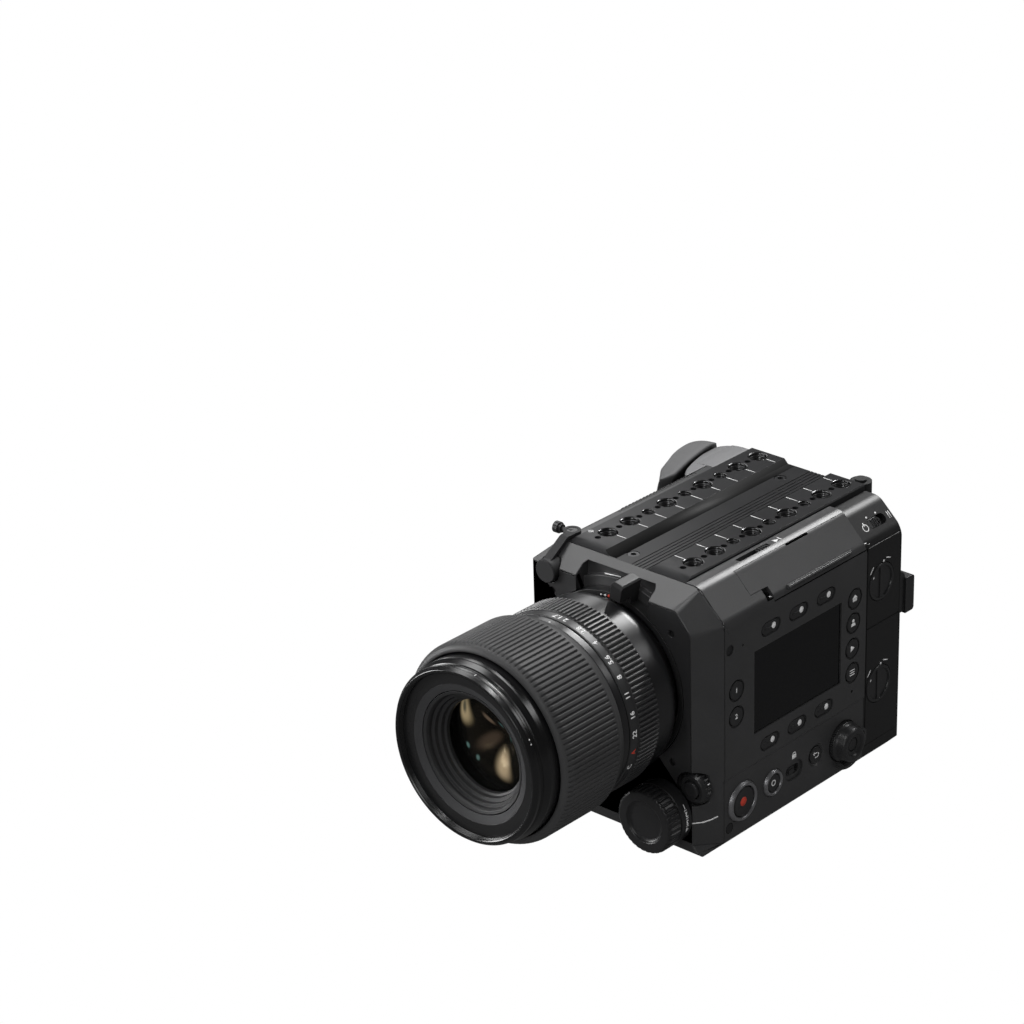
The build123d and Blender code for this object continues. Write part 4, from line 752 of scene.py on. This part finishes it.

# The inner glass is dark amber metal that reflects the lamps. Painted reflections glow over it: soft amber
# and teal spots in its emission colour, standing in for the coatings' reflections.
painted_reflection_glass = finish("painted_reflection_glass", (0.028, 0.022, 0.014), 0.24, metal=1.0, grain_mm=3.0, bump=0.0,
                    vary=0.15, rough_vary=0.04)
# Each painted reflection: its centre (x, z) and half sizes in millimetres, its turn in degrees and its glow
# colour.
PAINTED_REFLECTIONS = [
    ((-16.6, 85.3), (6.2, 9.0), -22.0, (0.40, 0.31, 0.18)),
    ((-17.2, 87.0), (2.6, 4.4), -22.0, (0.10, 0.09, 0.06)),
    ((4.7, 65.0), (6.6, 9.4), -26.0, (0.46, 0.35, 0.22)),
    ((-4.3, 84.6), (1.9, 5.4), -24.0, (0.12, 0.085, 0.06)),
    ((-14.7, 69.3), (1.4, 2.2), -20.0, (0.09, 0.17, 0.16)),
    ((-9.3, 64.8), (1.4, 2.0), -20.0, (0.09, 0.16, 0.15)),
    ((1.2, 82.6), (1.3, 2.6), -20.0, (0.04, 0.09, 0.09)),
    ((6.2, 77.4), (1.3, 2.4), -20.0, (0.04, 0.09, 0.08)),
    ((-5.5, 73.0), (9.0, 5.0), -38.0, (0.05, 0.035, 0.025))]
SPOT_Y = -152.0
tree = painted_reflection_glass.node_tree
where = tree.nodes.new("ShaderNodeTexCoord")
shade = None
for (sx, sz), (half_x, half_z), angle, colour in PAINTED_REFLECTIONS:
    g = tree.nodes.new("ShaderNodeGroup")
    g.node_tree = spot
    g.inputs["Centre"].default_value = (sx * mm, SPOT_Y * mm, sz * mm)
    g.inputs["Half Size"].default_value = (half_x * mm, 1.0, half_z * mm)
    g.inputs["Turn"].default_value = (0, math.radians(angle), 0)
    tree.links.new(where.outputs["Object"], g.inputs["Vector"])
    blend = tree.nodes.new("ShaderNodeMix")
    blend.data_type = "RGBA"
    blend.inputs[6].default_value = (0.002, 0.002, 0.002, 1)
    blend.inputs[7].default_value = (*colour, 1)
    tree.links.new(g.outputs["Mask"], blend.inputs[0])
    if shade:
        tree.links.new(shade, blend.inputs[6])
    shade = blend.outputs[2]
# The painted reflections glow through the emission colour.
skin = tree.nodes["Principled BSDF"]
tree.links.new(shade, skin.inputs["Emission Color"])
skin.inputs["Emission Strength"].default_value = 0.75
r = np.linspace(GLASS_R, 0.0, 60)
CREST_R = 16.0
swell = np.where(r > CREST_R, 76.5 + 4.6 * np.cos((r - CREST_R) / (GLASS_R - CREST_R) * math.pi / 2),
                 74.6 + 6.5 * np.sin(r / CREST_R * math.pi / 2) ** 2)
inner = np.vstack([np.c_[r, swell], [(0, 70.0), (GLASS_R, 70.0)]])
build("inner_glass", turned(inner, LENS, 160), "camera", "coated_glass", ("inner_elements",), painted_reflection_glass,
      even=False)
cell = rounded([(26.6, 69.0), (26.6, NECK + 0.1), (25.4, NECK + 0.1), (25.25, 78.0), (25.25, 69.0)], 0.1)
build("lens_cell", turned(cell, LENS, 140), "camera", "rim_black", material=baffle_black)

# ND dial: a black moulded knob with grip grooves, a dished face and a plain scale drum behind the grips.
dial_plastic = finish("dial_plastic", (0.018, 0.018, 0.019), 0.34, grain_mm=0.25, bump=0.12, specular=0.5)
ND = facing_front(31.0, 18.5)
ND_R = 15.6
ND_OUT = 92.0
ND_RIBS = 34
knob = outline_with_ribs([
    (0, ND_OUT - 1.3), (8.6, ND_OUT - 1.3), (9.6, ND_OUT - 0.9), (10.4, ND_OUT), (ND_R - 1.5, ND_OUT),
    (ND_R - 0.4, ND_OUT - 0.5), (ND_R, ND_OUT - 1.2), (ND_R, 84.7), (ND_R - 0.25, 84.3), (ND_R - 0.9, 84.1),
    (ND_R - 0.9, 83.6), (ND_R - 0.1, 83.4), (ND_R - 0.1, 76.8), (3.0, 76.8), (3.0, 68.0), (0, 68.0)],
    0.35, ND_R, 84.9, ND_OUT - 1.3, 0.4)
cuts = ribs(ND_RIBS, 0.66, 0.16, 84.0, ND_OUT - 0.2, 0.7, 0.75, ND_R)
build("nd_dial_knob", turned(knob, ND, ND_RIBS * 12, cuts), "nd_dial", "dial_plastic", ("nd_dial",))
nd_marks = [on_drum(words(text, 3.4, turn=math.pi / 2), ND_R, angle) for text, angle in
            (("1", 60.0), ("2", 74.0), ("3", 88.0), ("4", 102.0))]
nd_marks += [on_drum(stroke([(0, -0.9), (0, 0.9)], 0.3), ND_R, angle) for angle in (67.0, 81.0, 95.0)]
ink("nd_numbers", nd_marks, round_drum(ND, ND_R - 0.1, 80.0), "nd_dial")
bevel = np.array([[45.9, -76.2, 0], [0.6697, 0.7426, 0], [0, 0, 1], [0.7426, -0.6697, 0]])
index_line = stroke([(-0.3, 16.2), (4.9, 16.4), (8.6, 17.4), (11.8, 18.9)], 0.6)
ink("nd_index_line", [index_line], flat_on(bevel))

# Focus-mode dial, a small knurled ring in a scoop of the front corner, with a push button in its centre.
MODE = facing_front(45.5, 33.3)
MODE_R = 7.9
MODE_RIBS = 20
ring = outline_with_ribs([
    (4.45, 75.9), (6.3, 75.9), (7.2, 74.6), (MODE_R, 73.6), (MODE_R, 71.0), (7.2, 70.6), (2.6, 70.6),
    (2.6, 66.9), (0, 66.9), (0, 73.2), (4.45, 73.2)], 0.3, MODE_R, 71.1, 73.5, 0.3)
cuts = ribs(MODE_RIBS, 0.6, 0.2, 70.4, 74.4, 0.5, 0.75, MODE_R)
build("focus_mode_ring", turned(ring, MODE, MODE_RIBS * 10, cuts), "focus_mode_dial", "dial_plastic",
      ("focus_mode_dial",))
button = rounded([(0, 77.1), (2.9, 77.2), (4.0, 76.9), (4.2, 76.2), (4.2, 74.0), (0, 74.0)], 0.5)
build("focus_mode_push", turned(button, MODE, 90), "focus_mode_button", "dial_plastic",
      ("focus_mode_button",))
mode_line = on_drum(stroke([(0, -0.8), (0, 0.8)], 0.45), MODE_R, 62.0)
ink("focus_mode_line", [mode_line], round_drum(MODE, MODE_R, 72.3), "focus_mode_dial")

# Rubber cap over the small socket, moulded in one piece with its strap, and the tape hook that the strap
# is tied to.
finish("rubber_black", (0.020, 0.020, 0.021), 0.60, grain_mm=0.4, bump=0.2, specular=0.35)
finish("screw_black", (0.05, 0.05, 0.052), 0.30, metal=0.8, grain_mm=0.2, bump=0.05)
soften("dc_out_cap", 0.45, "rubber_black", segments=3)
hook = soften("tape_hook", 0.22, "screw_black", material=dial_plastic, segments=3)
hook.data.transform(Matrix.Translation((0, 0, -2.1 * mm)))

# Control-side panel: the painted cover of the side and the sloped corner, pierced for every key. Its
# printing is kept to plain signs: a house, a head and shoulders, a triangle, three bars, 1 and 2.
SIDE_X = 56.0
LOW_X = SIDE_X - 0.5
soften("side_panel", 0.42, "body_paint", segments=3)
lock = [circle(-14.4, 28.6, 1.0, 0.42, 0, 180, 14),
        plate([(-15.9, 26.4), (-12.9, 26.4), (-12.9, 28.6), (-15.9, 28.6)])]
ink("lock_sign", lock, flat_on(facing_side(0, 0, LOW_X)))

# Screen: a dark cover glass, bonded flush into the panel, over the display module, which is a black
# moulded box behind it.
finish("screen_glass", (0.004, 0.004, 0.0045), 0.12, grain_mm=2.0, bump=0.0, vary=0.1, rough_vary=0.03,
       specular=0.3)
finish("module_black", (0.012, 0.012, 0.013), 0.5)
soften("lcd_glass", 0.15, "screen_glass")
soften("lcd_module", 0.20, "module_black")

# Soft keys above and below the screen: small moulded bars in dished pockets, each with a white oval
# print and a raised bar to feel.
finish("key_plastic", (0.020, 0.020, 0.021), 0.40, grain_mm=0.25, bump=0.12)
KEY_BACK = SIDE_X - 2.6
SOFTKEYS = [(-32.5, 100.9), (-12.5, 100.8), (7.6, 100.7), (-32.9, 43.4), (-13.0, 43.5), (6.9, 43.6)]
SOFT_L, SOFT_W = 12.4, 5.4
soft_top = SIDE_X - 0.3
soft_half = SOFT_W / 2
soft_bar = rounded([(0, soft_top - 0.15), (soft_half * 0.6, soft_top - 0.1), (soft_half, soft_top),
                    (soft_half, KEY_BACK), (0, KEY_BACK)], 0.45, 5)
soft_feel = rounded([(0, soft_top + 0.18), (0.5, soft_top + 0.14), (0.75, soft_top - 0.3),
                     (0, soft_top - 0.3)], 0.15)
for n, (ky, kz) in enumerate(SOFTKEYS):
    name = "softkey_%d" % (n + 1)
    bar_shape = turned(soft_bar, facing_side(ky, kz), 64, core=(SOFT_L - SOFT_W) / 2)
    build(name + "_bar", bar_shape, name, "key_plastic", (name,))
    build(name + "_feel", turned(soft_feel, facing_side(ky - 3.0, kz), 32, core=0.5), name, "key_plastic")
    ink(name + "_print", [dot(2.3, 0.0, 1.4, 1.55)], flat_on(facing_side(ky, kz, soft_top - 0.09)), name)

# Round keys: four in a column behind the screen and two function keys in front of it. Black moulded
# caps with a shallow dish and a white print, each guided in its hole in the panel.
KEY_R = 4.5
HOUSE = [(-1.5, -1.3), (1.5, -1.3), (1.5, 0.3), (2.0, 0.3), (0.0, 2.0), (-2.0, 0.3), (-1.5, 0.3)]
SHOULDERS = [(-1.7, -1.6), (1.7, -1.6), (1.3, -0.3), (0.6, 0.0), (-0.6, 0.0), (-1.3, -0.3)]
SIGNS = {
    "home_key": [plate(HOUSE)],
    "user_key": [dot(0, 1.1, 0.85), plate(SHOULDERS)],
    "play_key": [plate([(-1.2, -1.6), (1.7, 0.0), (-1.2, 1.6)])],
    "menu_key": [stroke([(-1.8, y), (1.8, y)], 0.45) for y in (-1.2, 0.0, 1.2)],
    "fn_key_1": [words("1", 3.4)],
    "fn_key_2": [words("2", 3.4)],
}
ROUND = {"home_key": (29.3, 91.1), "user_key": (28.4, 79.0), "play_key": (28.0, 66.1),
         "menu_key": (28.2, 53.5), "fn_key_1": (-56.9, 78.9), "fn_key_2": (-57.0, 65.9)}
round_top = SIDE_X + 0.2


def round_key(name, y, z, radius, top, dish):
    """A round key with a shallow dish in its top and a soft rim."""
    outline = rounded([(0, top - dish), (radius * 0.55, top - dish * 0.6), (radius * 0.86, top),
                       (radius - 0.05, top - 0.25), (radius, KEY_BACK), (0, KEY_BACK)], 0.5, 5)
    build(name + "_cap", turned(outline, facing_side(y, z), 84), name, "key_plastic", (name,))


for name, (ky, kz) in ROUND.items():
    round_key(name, ky, kz, KEY_R, round_top, 0.35)
    ink(name + "_print", SIGNS[name], flat_on(facing_side(ky, kz, round_top - 0.24)), name)

# Record and clear buttons with their turned metal bezels, the back button, and the lock slider. The caps
# are moulded as the other keys are; the bezels are pressed into the panel.
bezel_metal = finish("bezel_metal", (0.30, 0.30, 0.31), 0.36, metal=0.80, grain_mm=0.25, bump=0.08)
REC = (-52.3, 20.8)
CLEAR = (-30.2, 20.6)
BACK = (1.9, 21.2)
REC_R, CLEAR_R = 7.3, 4.4
round_key("rec_button", *REC, REC_R, SIDE_X + 0.7, 0.5)
round_key("clear_button", *CLEAR, CLEAR_R, SIDE_X + 0.3, 0.3)
round_key("back_button", *BACK, 4.2, SIDE_X - 0.3, 0.2)
ink("rec_print", [dot(0, 0, 2.3)], flat_on(facing_side(*REC, SIDE_X + 0.26)), "rec_button", red_ink)
ink("clear_print", [circle(0, 0, 1.3, 0.5)], flat_on(facing_side(*CLEAR, SIDE_X + 0.06)), "clear_button")
arrow = [stroke([(1.5, 0.9), (-1.4, 0.9)], 0.5), plate([(-0.9, 2.0), (-2.1, 0.9), (-0.9, -0.2)]),
         circle(0.9, -0.2, 1.1, 0.5, -90, 90, 12), stroke([(0.9, -1.3), (-0.6, -1.3)], 0.5)]
ink("back_print", arrow, flat_on(facing_side(*BACK, SIDE_X - 0.44)), "back_button")


def bezel(radius, width, top):
    """A ring with a coned inner lip and a rounded crown."""
    return rounded([(radius + 0.3, SIDE_X - 2.4), (radius + width, SIDE_X - 2.4), (radius + width, top - 1.5),
                    (radius + width * 0.62, top), (radius + 0.8, top), (radius + 0.3, top - 0.6)], 0.5, 5)


build("rec_bezel", turned(bezel(REC_R, 2.6, SIDE_X + 1.2), facing_side(*REC), 120), "camera", None,
      ("key_bezels",), bezel_metal)
build("clear_bezel", turned(bezel(CLEAR_R, 2.2, SIDE_X + 1.0), facing_side(*CLEAR), 100), "camera", None,
      material=bezel_metal)
soften("lock_slider", 0.25, "dial_plastic", body="lock_slider", segments=3)

# Rotary encoder: a moulded knob with a knurled skirt, a coned waist and a dished crown. It turns in the
# panel, and a push button sits in its middle.
ENC = facing_side(22.4, 20.0)
ENC_R = 9.9
ENC_RIBS = 60
skirt = outline_with_ribs([
    (3.4, 52.5), (4.0, 52.5), (4.0, 54.2), (ENC_R, 54.2), (ENC_R, 57.0), (9.2, 57.9), (8.9, 58.6),
    (8.3, 62.1), (7.5, 62.9), (5.8, 62.9), (5.0, 61.9), (3.4, 61.6)], 0.35, ENC_R, 54.4, 56.9, 0.2)
cuts = ribs(ENC_RIBS, 0.55, 0.3, 54.3, 57.1, 0.3, 0.35, ENC_R)
build("encoder_knob", turned(skirt, ENC, ENC_RIBS * 8, cuts), "encoder_dial", "dial_plastic",
      ("encoder_dial",))
push = rounded([(0, 61.3), (2.2, 61.45), (3.1, 61.3), (3.3, 60.9), (3.3, 53.5), (0, 53.5)], 0.3)
build("encoder_push", turned(push, ENC, 72), "encoder_button", "dial_plastic", ("encoder_button",))

# Media door on the sloped corner, painted as the body is and hinged along its lower edge, where a thin
# rib runs along its ridge. The moulded eject slider moves in the strip above it.
soften("media_door", 0.45, "body_paint", body="media_door", segments=3)
soften("eject_slider", 0.15, "dial_plastic", body="eject_slider")
TOP_Z = 128.2
eject = [plate([(-1.4, -7.6), (1.6, -7.6), (0.1, -4.6)]), stroke([(-1.5, -3.6), (1.7, -3.6)], 0.55)]
ink("eject_sign", eject, flat_on(facing_up(37.6, 0, TOP_Z)))
# The rib's paint is a little lighter than the door's: a painted highlight along the ridge, added to the
# lamps' own highlight on its round top.
rib_highlight_paint = finish("rib_highlight_paint", (0.05, 0.05, 0.051), 0.40, grain_mm=0.3, bump=0.0, rough_vary=0.02)
RIB_R = 0.35
door_ridge = np.array([[55.36, 0, 115.56], [1, 0, 0], [0, 0, 1], [0, 1, 0]], float)
rib_outline = rounded([(0, -19.1), (RIB_R, -19.1), (RIB_R, 26.5), (0, 26.5)], 0.15)
build("door_rib", turned(rib_outline, door_ridge, 24), "media_door", "body_paint", material=rib_highlight_paint)

# Threaded top plate: grey hard-anodised aluminium with two rows of accessory threads beside a channel.
# Short printed lines mark the holes, and a plain ring and bar marks the sensor's plane.
finish("plate_paint", (0.017, 0.017, 0.018), 0.34, grain_mm=0.28, bump=0.14, vary=0.2,
       specular=0.18)
RAIL_Z = 129.4
ROW_X = 24.75
NEAR_STEP, FAR_STEP = 15.1, 25.85
big = np.cumsum([-48.7, NEAR_STEP, FAR_STEP, FAR_STEP, FAR_STEP, NEAR_STEP])
small = (big[1:4] + big[2:5]) / 2
holes = np.sort(np.concatenate([big, small]))
pins = np.concatenate([[holes[0] - 7.1], (holes[1:] + holes[:-1]) / 2])
centres = np.sort(np.concatenate([holes, pins]))
between = [((0, 1, 0), float(y)) for y in (centres[1:] + centres[:-1]) / 2]
between += [((1, 0, 0), x) for x in (-ROW_X, -4.4, ROW_X)]
soften("top_plate", 0.18, "plate_paint", lines=between)
ticks = [stroke([(side * (ROW_X - 10.6), y), (side * (ROW_X - inner), y)], 0.36)
         for side in (-1, 1) for row, inner in ((big, 5.2), (small, 3.8)) for y in row]
ticks += [circle(-31.5, -52.8, 1.0, 0.3), stroke([(-33.2, -52.8), (-29.8, -52.8)], 0.3)]
ink("plate_lines", ticks, flat_on(facing_up(0, 0, RAIL_Z)))
deck_low, deck_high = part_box("top_plate")
# A near-black sheet over the channel's left wall and the edge of its floor: painted shade, standing in for
# the shadow that lies along that wall.
shade_outline = [(-13.57, 129.38), (-11.37, 127.26), (-7.2, 127.26), (-7.2, 127.14), (-11.45, 127.1),
         (-13.66, 129.3)]
n = len(shade_outline)
ends = [deck_low[1] / mm + 1.2, deck_high[1] / mm - 0.6]
shade_points = np.array([(x, y, z) for y in ends for x, z in shade_outline]) * mm
shade_faces = [[i, (i + 1) % n, (i + 1) % n + n, i + n] for i in range(n)]
shade_faces += [list(range(n))[::-1], list(range(n, 2 * n))]
channel_shade_black = finish("channel_shade_black", (0.004, 0.004, 0.004), 0.55, grain_mm=0.3, bump=0.05, specular=0.15)
build("channel_painted_shade", (shade_points, shade_faces), "camera", "plate_paint", material=channel_shade_black,
      even=False)
thread_steel = finish("thread_steel", (0.055, 0.055, 0.056), 0.30, metal=0.6, grain_mm=0.2, bump=0.05)


THREAD_LOW = 125.0
THREAD_TURNS = 4


def thread_lining(bore, high):
    """The outline of a thin threaded sleeve: its inner radius swings by 0.16 mm either way once a turn,
    in six steps."""
    steps = THREAD_TURNS * 6
    swing = 0.16 * np.cos(np.arange(steps) * math.pi / 3)
    inner = np.c_[bore - 0.18 + swing, np.linspace(high, THREAD_LOW, steps)]
    return np.vstack([[(bore + 0.03, THREAD_LOW), (bore + 0.03, high)], inner])


def hole_lip(bore, mouth):
    """The outline of a bright coned lip from the bore up to the mouth."""
    rise = mouth - bore
    return np.array([(bore, RAIL_Z - rise - 0.02), (mouth, RAIL_Z - 0.02), (mouth - 0.06, RAIL_Z + 0.015),
                     (bore - 0.03, RAIL_Z - rise + 0.03)])


def at_holes(big_outline, small_outline):
    """One outline turned at every large hole, the other at every small one, in both rows."""
    return [turned(outline, facing_up(x, y), 40) for x in (-ROW_X, ROW_X)
            for outline, row in ((big_outline, big), (small_outline, small)) for y in row]


linings = at_holes(thread_lining(3.95, RAIL_Z - 1.2), thread_lining(2.6, RAIL_Z - 0.9))
lips = at_holes(hole_lip(3.97, 4.85), hole_lip(2.62, 3.15))
lip_metal = finish("lip_metal", (0.06, 0.06, 0.061), 0.18, metal=0.9, grain_mm=0.3, bump=0.0, rough_vary=0.04)
ink("hole_lips", [(p / mm, f.tolist()) for p, f in lips], flat_on(facing_up(0, 0)), material=lip_metal)
ink("thread_linings", [(p / mm, f.tolist()) for p, f in linings], flat_on(facing_up(0, 0)),
    material=thread_steel)

# Rear module with its two battery doors. Black painted casting; the doors swing on steel pins and are
# held by turning dials, each with a raised fin.
soften("rear_housing", 0.40, "rear_paint", segments=3)
soften("power_slider", 0.25, "dial_plastic", body="power_slider")
DIALS = {"upper": (50.1, 92.0), "lower": (49.4, 39.2)}
RS_X = 55.5
for key, (dy, dz) in DIALS.items():
    soften("battery_door_" + key, 0.25, "rear_paint", "battery_door_" + key, segments=3)
    soften("lock_dial_" + key, 0.30, "dial_plastic", "lock_dial_" + key, segments=3)
    marks = [dot(1.6, 9.9, 0.6), stroke([(-8.6, 6.4), (-6.2, 9.4)], 0.5),
             stroke([(3.6, 10.9), (6.8, 9.8)], 0.5)]
    ink("door_marks_" + key, marks, flat_on(facing_side(dy, dz, RS_X)), "battery_door_" + key)
    dial_dot = dot(-5.9, 3.6, 0.6)
    ink("dial_dot_" + key, [dial_dot], flat_on(facing_side(dy, dz, RS_X - 0.2)), "lock_dial_" + key)
slope = np.array([[49.2586, 54.0, 119.4508], [0, 1, 0], [-0.7323, 0, 0.6810], [0.6810, 0, 0.7323]])
power = [circle(-9.0, -0.6, 1.7, 0.45), stroke([(-9.0, 0.1), (-9.0, 2.2)], 0.45),
         stroke([(8.6, -1.8), (8.6, 1.8)], 0.4), stroke([(9.8, -1.8), (9.8, 1.8)], 0.4),
         dot(-4.6, 3.6, 0.5), dot(2.2, 3.6, 0.5)]
ink("power_signs", power, flat_on(slope))
soften("rear_cover", 0.60, "rear_paint", segments=3)
soften("rear_latch", 0.50, "dial_plastic", segments=3)
soften("strap_lug", 0.50, "rear_paint", segments=3)
finish("pin_steel", (0.10, 0.10, 0.10), 0.35, metal=0.9, grain_mm=0.2, bump=0.03)
soften("hinge_pins", 0.10, "pin_steel")

# Palm grip on the far side: a smooth grey moulding that swells towards the rear, fixed to the body, with
# a flat shoulder along its top.
finish("grip_grey", (0.17, 0.17, 0.174), 0.46, grain_mm=0.3, bump=0.08, specular=0.4, vary=0.08)
soften("grip_body", 2.2, "grip_grey", turn=18.0, segments=4)

shoulder = [(-33.75, 126.0), (-33.75, 127.7), (-34.6, 128.25), (-38.0, 128.35), (-41.0, 128.1),
            (-45.0, 127.45), (-45.0, 126.0)]


def capped_tube(rows, n):
    """Faces of rows of n points joined into a tube, with one face on each end."""
    last = (rows - 1) * n
    return grid_faces(rows, n)[:last].tolist() + [list(range(n))[::-1], list(range(last, last + n))]


def bar(outline, ends, corner):
    """A closed outline of (x, z) carried along Y between two ends, with its end rims drawn in by the
    corner radius in a quarter circle."""
    p = rounded(outline, corner * 1.6, 5) if corner else np.array(outline, float)
    middle = p.mean(axis=0)
    q = np.linspace(0, math.pi / 2, 5)
    inset = np.concatenate([1 - np.sin(q), 1 - np.sin(q[::-1])]) * corner
    y = np.concatenate([ends[0] + corner * (1 - np.cos(q)), ends[1] - corner * (1 - np.cos(q[::-1]))])
    reach = p - middle
    away = reach / np.linalg.norm(reach, axis=1, keepdims=True)
    rim = middle + reach - away * inset[:, None, None]
    n = len(p)
    along = np.broadcast_to(y[:, None, None], (len(y), n, 1))
    points = np.concatenate([rim[:, :, :1], along, rim[:, :, 1:]], -1)
    return points.reshape(-1, 3) * mm, capped_tube(len(y), n)


build("grip_shoulder", bar(shoulder, (38.3, 65.2), 0.5), "camera", "grip_grey")

# Padded hand strap: a foam-filled band that bows out from the front of the grip side and back round to
# the rear edge. Smooth cloth over foam, without a weave that shows.
LEVELS = {
    68.0: (
        [(-48.9, 8), (-52.8, 13), (-59, 21.5), (-65, 30.5), (-69.8, 41),
         (-71.5, 52), (-69.3, 60.8), (-64, 66.6), (-56.4, 68.2)],
        [(-56.6, 65.9), (-62.1, 65.7), (-62.5, 61), (-62.3, 54), (-60.5, 45),
         (-57, 36), (-53.8, 28.7), (-51.0, 21.6), (-48.9, 16.5)]),
    98.0: (
        [(-48.9, 10.5), (-52.5, 15.5), (-59, 24), (-66.5, 33), (-73, 42),
         (-75.5, 52), (-73.5, 61.4), (-67, 68), (-56.4, 69.5)],
        [(-56.6, 65.9), (-62.1, 65.7), (-63.2, 62), (-64.5, 54), (-62.3, 44),
         (-58.2, 35), (-54.5, 28), (-51.2, 21.6), (-48.9, 17.4)]),
    116.0: (
        [(-48.9, 12.5), (-51.8, 17), (-57.7, 25.4), (-64, 34), (-70.4, 43),
         (-72.6, 53), (-70.6, 61), (-66, 67.2), (-56.4, 68.7)],
        [(-56.6, 65.9), (-62.1, 65.7), (-62.5, 61), (-61.7, 54), (-59.7, 45),
         (-56.7, 36), (-53.7, 28.7), (-51.2, 22.6), (-48.9, 19)]),
    126.0: (
        [(-47.2, 13.8), (-50.4, 18.8), (-57, 28.7), (-61, 37.5), (-64, 46),
         (-65.6, 54), (-65.4, 60), (-62.9, 65.3), (-57.2, 67.3)],
        [(-55.4, 65.7), (-55.7, 63.5), (-54.8, 60), (-53.8, 55), (-52.5, 48.5),
         (-50.8, 41), (-49.1, 34.7), (-47.4, 28.9), (-46.3, 23.4)]),
}
SAG = 3.0


def smooth_loop(points, per_span):
    """A closed curve through the points: each span is a cubic whose slopes are half the chord of its
    neighbours."""
    p = np.array(points, float)
    prev, nxt, nxt2 = np.roll(p, 1, 0), np.roll(p, -1, 0), np.roll(p, -2, 0)
    t = np.linspace(0, 1, per_span, endpoint=False)[None, :, None]
    a, b, c, d = prev[:, None], p[:, None], nxt[:, None], nxt2[:, None]
    curve = (2 * b + (c - a) * t + (2 * a - 5 * b + 4 * c - d) * t ** 2
             + (3 * b - a - 3 * c + d) * t ** 3) * 0.5
    return curve.reshape(-1, p.shape[1])


heights = np.array(list(LEVELS))
loops = np.stack([smooth_loop(outer + inner, 8) for outer, inner in LEVELS.values()])
count = loops.shape[1]
rows = 61
v = 0.5 - 0.5 * np.cos(np.linspace(0, math.pi, rows))
z_at = heights[0] + (heights[-1] + 0.9 - heights[0]) * v
band = np.stack([np.stack([np.interp(z_at, heights, loops[:, i, k]) for i in range(count)], 1)
                 for k in (0, 1)], -1)
middle = (band + band[:, ::-1]) / 2
to_edge = np.clip((np.abs(2 * v - 1) - 0.90) / 0.10, 0, 1)[:, None, None]
crown = np.clip(1 - to_edge ** 2.6, 0, 1) ** (1 / 2.6)
soft = middle + (band - middle) * np.maximum(crown, 0.02)
rearwards = np.clip((soft[:, :, 1:] - 57.0) / 11.0, 0, 1)
droop = SAG * rearwards ** 1.8 * np.clip(v[:, None, None] - 0.3, 0, 1)
strap_points = np.concatenate([soft, z_at[:, None, None] - droop], -1).reshape(-1, 3) * mm
strap_cloth = finish("strap_cloth", (0.10, 0.10, 0.102), 0.62, grain_mm=0.5, bump=0.25, vary=0.12,
                     specular=0.35)
strap = build("hand_strap_padded", (strap_points, capped_tube(rows, count)), "camera", "strap_black",
              ("hand_strap",), strap_cloth, even=False)

# Screws: blackened steel, sunk in the front panel, the side, the channel, the base and the rear cover,
# which they hold.
soften("case_screws", 0.12, "screw_black")
